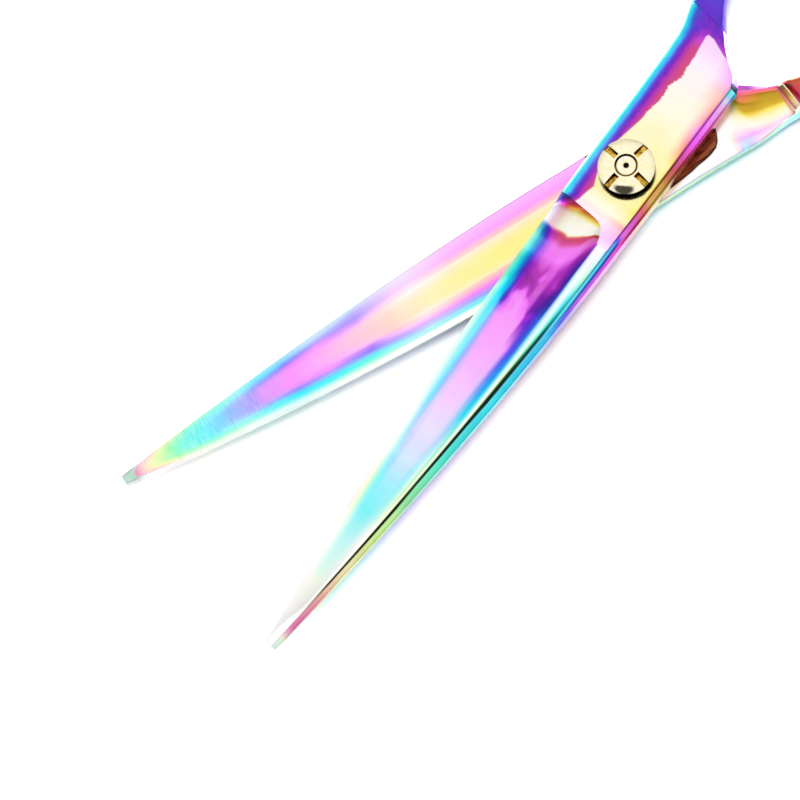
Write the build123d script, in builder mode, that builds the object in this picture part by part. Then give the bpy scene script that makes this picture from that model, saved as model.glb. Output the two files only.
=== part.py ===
from build123d import *
import os
from math import cos, radians, sin

# Hairdressing shears, modelled open.  Millimetres, +Z up.
# The origin is on the pivot axis, on the flat underside of the finger blade, so the shears
# lie on the plane z = 0.  The bisector of the two blades runs along +Y, towards the tips.
#
# Each half is a blade forging welded to a handle forging just behind the pivot block.
# It is drawn on its own plane, "side": local x runs from the pivot to the tip, local y
# towards the spine of the blade, and local z away from the face where the two halves meet.
# The two planes face opposite ways, so each half is the other one turned over.

# ---- overall ----
BLADE_REACH = 72.0          # pivot axis to blade tip
OPEN_ANGLE = 22.3           # angle between the blades, as modelled
HALF_T = 3.0                # thickness of one half at the pivot
HALF_GAP = 0.05             # running clearance between the two halves

# ---- blade ----
BLADE_START = 9.0           # where the hollow-ground face begins, measured from the pivot
TIP_T = 1.3
EDGE_ROOT, EDGE_TIP = 5.15, 0.95        # axis to cutting edge, at the blade's start and tip
SPINE_ROOT, SPINE_TIP = 5.0, 0.65       # axis to spine
RIDGE_ROOT = 2.6                        # axis to the ridge beside the hollow; 0 at the tip
EDGE_CURVE, SPINE_CURVE = 2.0, 1.7      # exponents that bow the two long edges
EDGE_LAND = 0.2                         # thickness left along the cutting edge
FACET_ROOT, FACET_TIP = 0.9, 0.55       # width of the facet along the spine
FACET_DROP_ROOT, FACET_DROP_TIP = 1.0, 0.6
RIDE_LINE = 0.7                         # width of the polished line inside the cutting edge
INNER_HOLLOW = 0.12                     # depth of the hollow on the inner face
BLADE_STATIONS = 8

# ---- pivot block ----
BLOCK_REAR = -15.5
EDGE_BEVEL, EDGE_BEVEL_DROP = 1.5, 1.6
SPINE_BEVEL, SPINE_BEVEL_DROP = 0.95, 1.0

# ---- handles ----
HANDLE_T = 4.6
RAMP_START, RAMP_END = -21.3, -22.9     # the inner face steps up to the full handle thickness
RING_R_IN, RING_R_OUT = 11.2, 14.8
RING_EDGE_ROUND, RING_BORE_ROUND = 1.3, 0.4
FINGER_RING = (-66.0, -14.8)            # ring centres, on each half's own plane
THUMB_RING = (-58.0, -15.5)

# ---- ring inserts ----
INSERT_R_IN = 10.0
INSERT_LIP = 0.9
INSERT_LIP_T = 0.55
INSERT_ROUND = 0.5

# ---- pivot ----
STUD_HEAD_R, STUD_HEAD_T = 3.1, 0.9
STUD_KEY_R, STUD_KEY_FLAT = 2.0, 1.6    # keyed length in the finger blade: radius, and half across flats
STUD_R = 1.75
STUD_THREAD_R = 1.15
STUD_CLEARANCE = 0.02
BUSH_CLEARANCE = 0.05
BUSH_R = 2.7
WELL_R, WELL_DEPTH = 3.1, 0.75          # well in the thumb blade, under the dial
GLIDE_R_IN, GLIDE_R_OUT, GLIDE_T = 2.1, 4.2, 0.37
GLIDE_SEAT = 0.35
SPRING_R_IN, SPRING_R_OUT, SPRING_T = 1.25, 2.9, 0.3
CLICK_R, CLICK_T, CLICK_TEETH = 2.95, 0.36, 16
CLICK_NOTCH_R = 0.25
STACK_GAP = 0.03

# ---- dial ----
DIAL_R, DIAL_T = 3.5, 1.85
DIAL_WALL = 1.25                        # height of the straight side, below the domed face
DIAL_LIFT = 0.07                        # gap between the dial and the thumb blade
DIAL_BORE_CLEARANCE = 0.03
DIAL_EYE_R, DIAL_EYE_DEPTH = 1.43, 0.75 # recess in the middle of the domed face
DIAL_SLOTS, DIAL_TURN = 4, 3.5          # cross of slots, and its angle from +X
SLOT_W, SLOT_FLOOR, SLOT_START = 0.8, 1.05, 1.65
LOCK_R, LOCK_SINK, LOCK_HEAD_T = 1.3, 0.12, 0.38
LOCK_SHANK_R, LOCK_SHANK_L = 0.5, 1.3
LOCK_DIMPLE_R = 0.35

# ---- bumper and finger rest ----
BUMPER_R, BUMPER_PROUD = 1.8, 1.3
BUMPER_STEM_R, BUMPER_STEM_L = 0.9, 2.0
SPOT_DEPTH = 0.3                        # flat spot cut in a ring under the bumper and the rest
REST_BEARING = 200.0                    # direction from the finger ring's centre to the rest
REST_STEM_R, REST_STEM_L = 1.1, 2.4
REST_COLLAR_R, REST_COLLAR_T = 2.2, 1.1
REST_ROD_R, REST_TIP_ROUND = 1.75, 1.5
REST_SPAN = 25.0                        # straight-line length of the rest's curved rod
REST_TURN = 62.0                        # how far the rod's direction turns over its length


def heading(angle):
    """Unit vector in the XY plane, angle in degrees from +X."""
    return Vector(cos(radians(angle)), sin(radians(angle)), 0)


RIDE_Z = HALF_T
FINGER_SIDE = Plane(origin=(0, 0, RIDE_Z), x_dir=heading(90 - OPEN_ANGLE / 2), z_dir=(0, 0, -1))
THUMB_SIDE = Plane(origin=(0, 0, RIDE_Z + HALF_GAP), x_dir=heading(90 + OPEN_ANGLE / 2), z_dir=(0, 0, 1))
TOP_Z = RIDE_Z + HALF_GAP + HALF_T
WELL_Z = TOP_Z - WELL_DEPTH
DIAL_Z = TOP_Z + DIAL_LIFT
DIAL_TOP = DIAL_Z + DIAL_T
LOCK_Z = DIAL_TOP - LOCK_SINK - LOCK_HEAD_T

os.makedirs("parts", exist_ok=True)


def finish(piece, name):
    """Label one finished piece and write its STEP file."""
    piece.part.label = name
    export_step(piece.part, f"parts/{name}.step")


def station(side, along, across=0.0, turn=0.0):
    """Plane square to a half's length: its x is the half's y, its y is the half's z."""
    forward = side.x_dir.rotate(Axis((0, 0, 0), side.z_dir), turn)
    origin = side.from_local_coords((along, across, 0))
    across_dir = side.z_dir.cross(forward)
    return Plane(origin=origin, x_dir=across_dir, z_dir=forward)


def blend(root, tip, fraction):
    return root + (tip - root) * fraction


def blade_section(along):
    """Outline of the blade across its length, as (across, height) points."""
    s = (along - BLADE_START) / (BLADE_REACH - BLADE_START)
    edge = -(EDGE_TIP + (EDGE_ROOT - EDGE_TIP) * (1 - s**EDGE_CURVE))
    spine = SPINE_TIP + (SPINE_ROOT - SPINE_TIP) * (1 - s**SPINE_CURVE)
    ridge = RIDGE_ROOT * (1 - s**EDGE_CURVE)
    top = blend(HALF_T, TIP_T, s)
    facet = blend(FACET_ROOT, FACET_TIP, s)
    drop = blend(FACET_DROP_ROOT, FACET_DROP_TIP, s)
    ride = blend(RIDE_LINE, RIDE_LINE / 3, s)
    hollow = blend(INNER_HOLLOW, INNER_HOLLOW / 6, s)
    hollow_mid = (edge + ridge) / 2
    hollow_z = blend(EDGE_LAND, top, 0.42)
    return [
        (edge, 0),
        (edge, EDGE_LAND),
        (hollow_mid, hollow_z),
        (ridge, top),
        (max(spine - facet, ridge + 0.05), top),
        (spine, top - drop),
        (spine, 0),
        (spine - ride, 0),
        ((edge + spine) / 2, hollow),
        (edge + ride, 0),
    ]


def block_section(edge, spine):
    """Outline of the pivot block, bevelled along both outer corners."""
    return [
        (edge, 0),
        (edge, HALF_T - EDGE_BEVEL_DROP),
        (edge + EDGE_BEVEL, HALF_T),
        (spine - SPINE_BEVEL, HALF_T),
        (spine, HALF_T - SPINE_BEVEL_DROP),
        (spine, 0),
    ]


def add_sections(side, sections):
    """Straight-sided loft through (along, points) sections."""
    faces = []
    for along, points in sections:
        with BuildSketch(station(side, along)) as section:
            with BuildLine():
                Polyline(*points, close=True)
            make_face()
        faces.append(section.sketch.face())
    loft(faces, ruled=True)


def add_shank(side, stations, ruled):
    """Loft through rounded sections: (along, across, turn, width, low, high)."""
    faces = []
    for along, across, turn, width, low, high in stations:
        with BuildSketch(station(side, along, across, turn)) as section:
            with Locations((0, (low + high) / 2)):
                RectangleRounded(width, high - low, min(1.4, 0.45 * (high - low)))
        faces.append(section.sketch.face())
    loft(faces, ruled=ruled)


def add_ring(side, centre):
    """Finger ring: a rounded band about an axis square to the half."""
    axis_at = side.from_local_coords((centre[0], centre[1], 0))
    axis_at = Vector(axis_at.X, axis_at.Y, RIDE_Z)
    with BuildSketch(Plane(origin=axis_at, x_dir=side.x_dir, z_dir=-side.y_dir)) as band:
        with Locations(((RING_R_IN + RING_R_OUT) / 2, 0)):
            Rectangle(RING_R_OUT - RING_R_IN, HANDLE_T)
        fillet(band.vertices().group_by(Axis.X)[-1], RING_EDGE_ROUND)
        fillet(band.vertices().group_by(Axis.X)[0], RING_BORE_ROUND)
    revolve(band.sketch, axis=Axis(axis_at, (0, 0, 1)))
    return axis_at


def ring_point(centre, bearing, radius):
    """Point at a bearing and radius from a ring's centre, on the half's own plane."""
    return centre[0] + radius * cos(radians(bearing)), centre[1] + radius * sin(radians(bearing))


def clear_ring(axis_at):
    """Keep the finger ring's hole open where the shank runs in."""
    with BuildSketch(Plane(origin=axis_at)) as hole:
        Circle(RING_R_IN)
    extrude(hole.sketch, amount=HANDLE_T, both=True, mode=Mode.SUBTRACT)


def stem_hole(foot, out, stem_r, stem_l, spot_r):
    """Blind hole with a flat spot round its mouth, into a ring's outer face."""
    with BuildSketch(Plane(origin=foot, z_dir=out)) as stem:
        Circle(stem_r + STUD_CLEARANCE)
    extrude(stem.sketch, amount=-stem_l - 2 * SPOT_DEPTH, mode=Mode.SUBTRACT)
    with BuildSketch(Plane(origin=foot + out, z_dir=out)) as spot:
        Circle(spot_r + STUD_CLEARANCE)
    extrude(spot.sketch, amount=-1 - SPOT_DEPTH, mode=Mode.SUBTRACT)


BLADE = [
    (u, blade_section(u))
    for u in [
        BLADE_START + (BLADE_REACH - BLADE_START) * i / (BLADE_STATIONS - 1)
        for i in range(BLADE_STATIONS)
    ]
]
BLOCK = [
    (BLADE_START, block_section(-5.1, 5.0)),
    (0.0, block_section(-5.3, 5.1)),
    (-8.0, block_section(-5.3, 5.1)),
    (BLOCK_REAR, block_section(-5.4, 5.1)),
]

# The neck behind the block, still on one side of the meeting plane, then the ramp to the
# full handle thickness, where the weld is, then the shank running out to the ring.
LOW, HIGH = -HANDLE_T / 2, HANDLE_T / 2
FINGER_NECK = [
    (BLOCK_REAR + 0.5, -0.15, 0, 10.3, 0, HALF_T),
    (-17.2, -0.9, 0, 7.6, 0, 2.8),
    (-19.2, -1.6, 4, 6.2, 0, 2.55),
    (RAMP_START, -2.2, 8, 4.6, 0, HIGH),
]
FINGER_RAMP = [
    (RAMP_START, -2.2, 8, 4.6, 0, HIGH),
    (RAMP_END, -2.5, 9, 4.4, LOW, HIGH),
]
FINGER_SHANK = [
    (RAMP_END, -2.5, 9, 4.4, LOW, HIGH),
    (-30.0, -3.9, 12, 4.2, LOW, HIGH),
    (-40.0, -6.2, 14, 4.3, LOW, HIGH),
    (-47.5, -8.3, 17, 5.0, LOW, HIGH),
    (-50.5, -9.3, 19, 6.6, LOW, HIGH),
    (-53.2, -10.3, 20, 9.4, LOW, HIGH),
]
THUMB_NECK = [
    (BLOCK_REAR + 0.5, -0.15, 0, 10.3, 0, HALF_T),
    (-17.2, -0.8, 0, 9.8, 0, 2.8),
    (-19.2, -2.3, 4, 7.2, 0, 2.55),
    (RAMP_START, -3.5, 8, 5.7, 0, HIGH),
]
THUMB_RAMP = [
    (RAMP_START, -3.5, 8, 5.7, 0, HIGH),
    (RAMP_END, -4.2, 12, 4.8, LOW - HALF_GAP, HIGH),
]
THUMB_SHANK = [
    (RAMP_END, -4.2, 12, 4.8, LOW - HALF_GAP, HIGH),
    (-26.0, -5.3, 14, 4.2, LOW - HALF_GAP, HIGH - HALF_GAP),
    (-33.0, -7.2, 15, 4.2, LOW - HALF_GAP, HIGH - HALF_GAP),
    (-39.5, -9.1, 17, 5.0, LOW - HALF_GAP, HIGH - HALF_GAP),
    (-42.5, -10.0, 19, 6.6, LOW - HALF_GAP, HIGH - HALF_GAP),
    (-45.2, -11.0, 20, 9.4, LOW - HALF_GAP, HIGH - HALF_GAP),
]

# ---- finger blade: the still blade, with seats for the stud and the glide ring ----
with BuildPart() as finger_blade:
    add_sections(FINGER_SIDE, BLADE)
    add_sections(FINGER_SIDE, BLOCK)
    add_shank(FINGER_SIDE, FINGER_NECK, True)
    add_shank(FINGER_SIDE, FINGER_RAMP, True)
    with BuildSketch(Plane.XY):
        Circle(STUD_HEAD_R + STUD_CLEARANCE)
    extrude(amount=STUD_HEAD_T, mode=Mode.SUBTRACT)
    with BuildSketch(Plane.XY):
        Circle(STUD_KEY_R + STUD_CLEARANCE)
        Rectangle(5 * STUD_KEY_R, 2 * (STUD_KEY_FLAT + STUD_CLEARANCE), mode=Mode.INTERSECT)
    extrude(amount=RIDE_Z, mode=Mode.SUBTRACT)
    with BuildSketch(Plane.XY.offset(RIDE_Z - GLIDE_SEAT)):
        Circle(GLIDE_R_OUT + STUD_CLEARANCE)
    extrude(amount=GLIDE_SEAT, mode=Mode.SUBTRACT)
finish(finger_blade, "finger_blade")

# ---- finger handle: shank and ring, with the finger rest's hole ----
with BuildPart() as finger_handle:
    add_shank(FINGER_SIDE, FINGER_SHANK, False)
    finger_axis = add_ring(FINGER_SIDE, FINGER_RING)
    clear_ring(finger_axis)
    rest_dir = (FINGER_SIDE.from_local_coords(ring_point((0, 0), REST_BEARING, 1)) - FINGER_SIDE.origin)
    rest_foot = finger_axis + rest_dir * RING_R_OUT
    stem_hole(rest_foot, rest_dir, REST_STEM_R, REST_STEM_L, REST_COLLAR_R)
finish(finger_handle, "finger_handle")

# ---- thumb blade: the moving blade, with the pivot bush's bore and the well under the dial ----
with BuildPart() as thumb_blade:
    add_sections(THUMB_SIDE, BLADE)
    add_sections(THUMB_SIDE, BLOCK)
    add_shank(THUMB_SIDE, THUMB_NECK, True)
    add_shank(THUMB_SIDE, THUMB_RAMP, True)
    with BuildSketch(Plane.XY.offset(RIDE_Z)):
        Circle(BUSH_R)
    extrude(amount=2 * HALF_T, mode=Mode.SUBTRACT)
    with BuildSketch(Plane.XY.offset(WELL_Z)):
        Circle(WELL_R)
    extrude(amount=2 * WELL_DEPTH, mode=Mode.SUBTRACT)
finish(thumb_blade, "thumb_blade")

# ---- thumb handle: shank and ring, with the bumper's hole ----
with BuildPart() as thumb_handle:
    add_shank(THUMB_SIDE, THUMB_SHANK, False)
    thumb_axis = add_ring(THUMB_SIDE, THUMB_RING)
    clear_ring(thumb_axis)
    bumper_dir = THUMB_SIDE.y_dir
    bumper_foot = thumb_axis + bumper_dir * RING_R_OUT
    stem_hole(bumper_foot, bumper_dir, BUMPER_STEM_R, BUMPER_STEM_L, BUMPER_R)
finish(thumb_handle, "thumb_handle")

# ---- pivot stud: flat head, keyed length, plain bearing, threaded end with a tapped centre ----
with BuildPart() as pivot_stud:
    with BuildSketch(Plane.XY):
        Circle(STUD_HEAD_R)
    extrude(amount=STUD_HEAD_T)
    chamfer(pivot_stud.edges().sort_by(Axis.Z)[0], 0.25)
    with BuildSketch(Plane.XY.offset(STUD_HEAD_T)):
        Circle(STUD_KEY_R)
        Rectangle(5 * STUD_KEY_R, 2 * STUD_KEY_FLAT, mode=Mode.INTERSECT)
    extrude(amount=RIDE_Z - STUD_HEAD_T)
    with BuildSketch(Plane.XY.offset(RIDE_Z)):
        Circle(STUD_R)
    extrude(amount=WELL_Z - RIDE_Z)
    with BuildSketch(Plane.XY.offset(WELL_Z)):
        Circle(STUD_THREAD_R)
    extrude(amount=LOCK_Z - STACK_GAP - WELL_Z)
    with BuildSketch(Plane.XY.offset(LOCK_Z)):
        Circle(LOCK_SHANK_R)
    extrude(amount=-LOCK_SHANK_L - 4 * STACK_GAP, mode=Mode.SUBTRACT)
finish(pivot_stud, "pivot_stud")


def washer(low, height, inner, outer):
    """Flat ring about the pivot axis, for the part being built."""
    with BuildSketch(Plane.XY.offset(low)) as ring:
        Circle(outer)
        Circle(inner, mode=Mode.SUBTRACT)
    extrude(ring.sketch, amount=height)


# ---- glide ring between the halves, seated in the finger blade ----
with BuildPart() as glide_ring:
    washer(RIDE_Z - GLIDE_SEAT, GLIDE_T, GLIDE_R_IN, GLIDE_R_OUT)
finish(glide_ring, "glide_ring")

# ---- pivot bush, pressed into the thumb blade ----
with BuildPart() as pivot_bush:
    washer(RIDE_Z + HALF_GAP, WELL_Z - RIDE_Z - HALF_GAP, STUD_R + BUSH_CLEARANCE, BUSH_R)
finish(pivot_bush, "pivot_bush")

# ---- spring washer and click plate, in the well under the dial ----
SPRING_Z = WELL_Z + STACK_GAP
CLICK_Z = SPRING_Z + SPRING_T
with BuildPart() as spring_washer:
    washer(SPRING_Z, SPRING_T, SPRING_R_IN, SPRING_R_OUT)
finish(spring_washer, "spring_washer")

with BuildPart() as click_plate:
    washer(CLICK_Z, CLICK_T, STUD_THREAD_R + STUD_CLEARANCE, CLICK_R)
    with BuildSketch(Plane.XY.offset(CLICK_Z + CLICK_T)):
        with PolarLocations(CLICK_R, CLICK_TEETH):
            Circle(CLICK_NOTCH_R)
    extrude(amount=-CLICK_T, mode=Mode.SUBTRACT)
finish(click_plate, "click_plate")

# ---- tension dial: straight side, domed face, a recess in the middle and a cross of slots ----
with BuildPart() as tension_dial:
    bore = STUD_THREAD_R + DIAL_BORE_CLEARANCE
    with BuildSketch(Plane(origin=(0, 0, DIAL_Z), x_dir=(1, 0, 0), z_dir=(0, -1, 0))):
        with BuildLine():
            dome = ThreePointArc((DIAL_R, DIAL_WALL), (2.75, DIAL_T - 0.17), (DIAL_EYE_R, DIAL_T))
            Polyline(
                dome @ 1,
                (DIAL_EYE_R, DIAL_T - DIAL_EYE_DEPTH),
                (bore, DIAL_T - DIAL_EYE_DEPTH),
                (bore, 0),
                (DIAL_R, 0),
                dome @ 0,
            )
        make_face()
    revolve(axis=Axis.Z)
    with BuildSketch(Plane.XY.offset(DIAL_Z + SLOT_FLOOR)):
        with PolarLocations((SLOT_START + DIAL_R + SLOT_W) / 2, DIAL_SLOTS, start_angle=DIAL_TURN):
            Rectangle(DIAL_R + SLOT_W - SLOT_START, SLOT_W)
    extrude(amount=DIAL_T, mode=Mode.SUBTRACT)
finish(tension_dial, "tension_dial")

# ---- lock screw in the end of the stud; its head stops the dial running off ----
with BuildPart() as lock_screw:
    with BuildSketch(Plane.XY.offset(LOCK_Z)):
        Circle(LOCK_R)
    extrude(amount=LOCK_HEAD_T)
    chamfer(lock_screw.edges().sort_by(Axis.Z)[-1], 0.12)
    with Locations((0, 0, LOCK_Z + LOCK_HEAD_T + LOCK_DIMPLE_R / 3)):
        Sphere(LOCK_DIMPLE_R, mode=Mode.SUBTRACT)
    with BuildSketch(Plane.XY.offset(LOCK_Z)):
        Circle(LOCK_SHANK_R - STUD_CLEARANCE)
    extrude(amount=-LOCK_SHANK_L)
finish(lock_screw, "lock_screw")


def ring_insert(axis_at):
    """Soft sleeve clipped round a finger ring, with a lip on each face."""
    half = HANDLE_T / 2
    lip_top = half + INSERT_LIP_T
    with BuildSketch(Plane(origin=axis_at, x_dir=(1, 0, 0), z_dir=(0, -1, 0))) as channel:
        with BuildLine():
            Polyline(
                (INSERT_R_IN, -lip_top),
                (RING_R_IN + INSERT_LIP, -lip_top),
                (RING_R_IN + INSERT_LIP, -half),
                (RING_R_IN, -half),
                (RING_R_IN, half),
                (RING_R_IN + INSERT_LIP, half),
                (RING_R_IN + INSERT_LIP, lip_top),
                (INSERT_R_IN, lip_top),
                close=True,
            )
        make_face()
        fillet(channel.vertices().group_by(Axis.X)[0], INSERT_ROUND)
        fillet(channel.vertices().group_by(Axis.X)[-1].group_by(Axis.Y)[0], 0.3)
        fillet(channel.vertices().group_by(Axis.X)[-1].group_by(Axis.Y)[-1], 0.3)
    revolve(channel.sketch, axis=Axis(axis_at, (0, 0, 1)))


with BuildPart() as finger_ring_insert:
    ring_insert(finger_axis)
finish(finger_ring_insert, "finger_ring_insert")

with BuildPart() as thumb_ring_insert:
    ring_insert(thumb_axis)
finish(thumb_ring_insert, "thumb_ring_insert")

# ---- bumper on the thumb ring, which meets the finger ring when the blades close ----
with BuildPart() as bumper:
    with BuildSketch(Plane(origin=bumper_foot - bumper_dir * SPOT_DEPTH, z_dir=bumper_dir)):
        Circle(BUMPER_R)
    extrude(amount=BUMPER_PROUD + SPOT_DEPTH)
    fillet(bumper.edges().sort_by(Axis(bumper_foot, bumper_dir))[-1], 0.5)
    with BuildSketch(Plane(origin=bumper_foot, z_dir=bumper_dir)):
        Circle(BUMPER_STEM_R)
    extrude(amount=-BUMPER_STEM_L)
finish(bumper, "bumper")

# ---- finger rest: a curved rod with a collar, screwed into the finger ring ----
rod_start = rest_foot + rest_dir * REST_COLLAR_T
with BuildPart() as finger_rest:
    with BuildSketch(Plane(origin=rest_foot - rest_dir * REST_STEM_L, z_dir=rest_dir)):
        Circle(REST_STEM_R)
    extrude(amount=REST_STEM_L)
    with BuildSketch(Plane(origin=rest_foot - rest_dir * SPOT_DEPTH, z_dir=rest_dir)):
        Circle(REST_COLLAR_R)
    extrude(amount=REST_COLLAR_T + SPOT_DEPTH)
    with BuildSketch(Plane(origin=rod_start, z_dir=rest_dir)):
        Circle(REST_ROD_R)
    bend_r = REST_SPAN / (2 * sin(radians(REST_TURN / 2)))
    bend_centre = rod_start + rest_dir.rotate(Axis.Z, -90) * bend_r
    revolve(axis=Axis(bend_centre, (0, 0, -1)), revolution_arc=REST_TURN)
    rod_end = rod_start + rest_dir.rotate(Axis.Z, -REST_TURN / 2) * REST_SPAN
    fillet(finger_rest.faces().sort_by_distance(rod_end)[0].edges(), REST_TIP_ROUND)
finish(finger_rest, "finger_rest")
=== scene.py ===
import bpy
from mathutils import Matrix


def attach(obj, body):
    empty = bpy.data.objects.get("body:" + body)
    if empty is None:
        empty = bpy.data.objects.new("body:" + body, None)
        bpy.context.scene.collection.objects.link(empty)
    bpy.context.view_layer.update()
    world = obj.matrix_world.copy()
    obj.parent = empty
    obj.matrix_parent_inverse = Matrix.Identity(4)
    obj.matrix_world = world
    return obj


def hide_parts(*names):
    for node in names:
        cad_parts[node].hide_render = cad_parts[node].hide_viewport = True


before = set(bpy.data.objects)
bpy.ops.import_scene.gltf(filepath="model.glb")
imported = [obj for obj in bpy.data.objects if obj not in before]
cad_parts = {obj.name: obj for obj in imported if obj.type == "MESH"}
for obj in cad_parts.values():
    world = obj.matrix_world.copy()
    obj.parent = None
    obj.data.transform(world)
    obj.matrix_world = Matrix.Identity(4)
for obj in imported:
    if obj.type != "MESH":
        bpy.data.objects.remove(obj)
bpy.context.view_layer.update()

import math

import bmesh
import bpy
import numpy as np
from mathutils import Matrix, Vector

MM = 0.001

# ------------------------------------------------------------------ driving sizes, in mm
# The same as the CAD model's: each half is drawn on its own plane, u from the pivot to the
# tip, v towards the spine, w away from the face where the halves meet.
OPEN_ANGLE = 22.3
HALF_T, HALF_GAP = 3.0, 0.05
BLADE_REACH, TIP_T = 72.0, 1.3
EDGE_ROOT, EDGE_TIP = 5.15, 0.95
SPINE_ROOT, SPINE_TIP = 5.0, 0.65
RIDGE_ROOT = 2.6
EDGE_CURVE, SPINE_CURVE = 2.0, 1.7
EDGE_LAND = 0.2
FACET_ROOT, FACET_TIP = 0.9, 0.55
DROP_ROOT, DROP_TIP = 1.0, 0.6
HANDLE_HALF = 2.3
RING_R_IN, RING_R_OUT = 11.2, 14.8
FINGER_RING, THUMB_RING = (-66.0, -14.8), (-58.0, -15.5)
BLADE_START = 9.0
BLOCK_REAR = -15.5
WELD_T = 3.55                 # where the blade is welded to the handle, as a pair parameter

# Columns round a section: from the edge's bottom corner over the outer face to the spine,
# and back along the inner face.  These are the ones where the shape turns.
COL_WALL, COL_RIDGE, COL_STRIP, COL_FACET, COL_SPINE, COL_RIDE = 1, 16, 20, 24, 27, 39
COLS = 40
# Places of the columns across the hollow-ground face, from its edge (0) to its ridge (1).
HOLLOW_SPACING = [0, .03, .065, .105, .15, .2, .27, .36, .45, .54, .63, .72, .8, .88, .95, 1.0]


# ------------------------------------------------------------------ small helpers
def smooth(x, low=0.0, high=1.0):
    t = np.clip((np.asarray(x, float) - low) / (high - low), 0, 1)
    return t * t * (3 - 2 * t)


def lerp(a, b, t):
    return a + (b - a) * t


class Side:
    """One half's plane: turns (u, v, w) in mm into the frame's metres."""

    def __init__(self, angle, z, outward):
        a = math.radians(angle)
        self.u = np.array([math.cos(a), math.sin(a), 0.0])
        self.w = np.array([0.0, 0.0, outward])
        self.v = np.cross(self.w, self.u)
        self.origin = np.array([0.0, 0.0, z])

    def place(self, points):
        p = np.asarray(points, float)
        world = self.origin + p[:, :1] * self.u + p[:, 1:2] * self.v + p[:, 2:3] * self.w
        return world * MM


FINGER = Side(90 - OPEN_ANGLE / 2, HALF_T, -1.0)
THUMB = Side(90 + OPEN_ANGLE / 2, HALF_T + HALF_GAP, 1.0)


def make_object(name, points, faces, sharp=(), flow=None, smooth_shade=True):
    """Mesh object from points in metres; sharp is a set of vertex pairs, flow a UV per corner."""
    mesh = bpy.data.meshes.new(name)
    mesh.from_pydata([tuple(map(float, p)) for p in points], [], faces)
    mesh.validate()
    mesh.update()
    if flow is not None:
        layers = [mesh.uv_layers.new(name=name) for name in ("flow", "plan")]
        index = 0
        for uvs in flow:
            for pair in uvs:
                for layer, uv in zip(layers, pair):
                    layer.data[index].uv = uv
                index += 1
    for poly in mesh.polygons:
        poly.use_smooth = smooth_shade
    if sharp:
        for edge in mesh.edges:
            a, b = edge.vertices
            if (a, b) in sharp or (b, a) in sharp:
                edge.use_edge_sharp = True
    obj = bpy.data.objects.new(name, mesh)
    bpy.context.collection.objects.link(obj)
    return obj


def turn_out(obj):
    """Make every face look outwards."""
    bm = bmesh.new()
    bm.from_mesh(obj.data)
    bmesh.ops.recalc_face_normals(bm, faces=bm.faces)
    bm.to_mesh(obj.data)
    bm.free()


def cut(obj, tool):
    """Subtract a closed tool from an object and drop the tool."""
    mod = obj.modifiers.new("cut", "BOOLEAN")
    mod.operation = "DIFFERENCE"
    mod.solver = "EXACT"
    mod.object = tool
    depsgraph = bpy.context.evaluated_depsgraph_get()
    fresh = bpy.data.meshes.new_from_object(obj.evaluated_get(depsgraph))
    obj.modifiers.clear()
    obj.data = fresh
    bpy.data.objects.remove(tool, do_unlink=True)


# ------------------------------------------------------------------ sections of a half
def blade_measures(u):
    """Edge, spine, ridge, top, facet width and facet drop of the blade at u."""
    s = np.clip((u - BLADE_START) / (BLADE_REACH - BLADE_START), 0, 1)
    edge = -(EDGE_TIP + (EDGE_ROOT - EDGE_TIP) * (1 - s**EDGE_CURVE))
    spine = SPINE_TIP + (SPINE_ROOT - SPINE_TIP) * (1 - s**SPINE_CURVE)
    ridge = RIDGE_ROOT * (1 - s**EDGE_CURVE)
    top = lerp(HALF_T, TIP_T, s)
    return edge, spine, ridge, top, lerp(FACET_ROOT, FACET_TIP, s), lerp(DROP_ROOT, DROP_TIP, s)


def scallop_u(across):
    """Where the hollow-ground face ends behind, for a place from edge (0) to ridge (1)."""
    return 6.6 + 0.7 * across + 2.3 * across**14


def row_start(j):
    """Where blade and block meet in a column: along the scallop, and straight across inside."""
    if j <= COL_RIDGE:
        return scallop_u(HOLLOW_SPACING[max(j - 1, 0)])
    if j <= COL_SPINE:
        return scallop_u(1.0)
    return lerp(scallop_u(1.0), scallop_u(0.0), (j - COL_SPINE) / (COLS - COL_SPINE))


def spine_point(j, ridge, spine, top, facet, drop):
    """Strip, facet and side wall, from the ridge to the spine's bottom corner."""
    shoulder = max(spine - facet, ridge + 0.05)
    if j <= COL_STRIP:
        return lerp(ridge, shoulder, (j - COL_RIDGE) / (COL_STRIP - COL_RIDGE)), top
    if j <= COL_FACET:
        t = (j - COL_STRIP) / (COL_FACET - COL_STRIP)
        return lerp(shoulder, spine, t), top - drop * t
    return spine, (top - drop) * (1 - (j - COL_FACET) / (COL_SPINE - COL_FACET))


def blade_row(q, block_edge):
    """Loop of (u, v, w) at a fraction q of the way from the scallop to the tip."""
    row = np.zeros((COLS, 3))
    for j in range(COLS):
        start = row_start(j)
        u = lerp(start, BLADE_REACH, q)
        edge, spine, ridge, top, facet, drop = blade_measures(u)
        if j == 0:
            v, w = edge, 0.0
        elif j <= COL_RIDGE:
            across = HOLLOW_SPACING[j - 1]
            v = lerp(edge, ridge, across)
            floor_w = lerp(EDGE_LAND, top, across - HOLLOW_SAG * across * (1 - across))
            sweep = np.clip(1 - (u - start) / SWEEP_LENGTH, 0, 1)
            rear_edge = block_edge(start)
            rear_w = block_profile(lerp(rear_edge, ridge, across), rear_edge)
            w = lerp(floor_w, rear_w, sweep**SWEEP_POWER)
        elif j <= COL_SPINE:
            v, w = spine_point(j, ridge, spine, top, facet, drop)
        else:
            v, w = inner_point(j, u, edge, spine)
        row[j] = (u, v, w)
    return row


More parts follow.
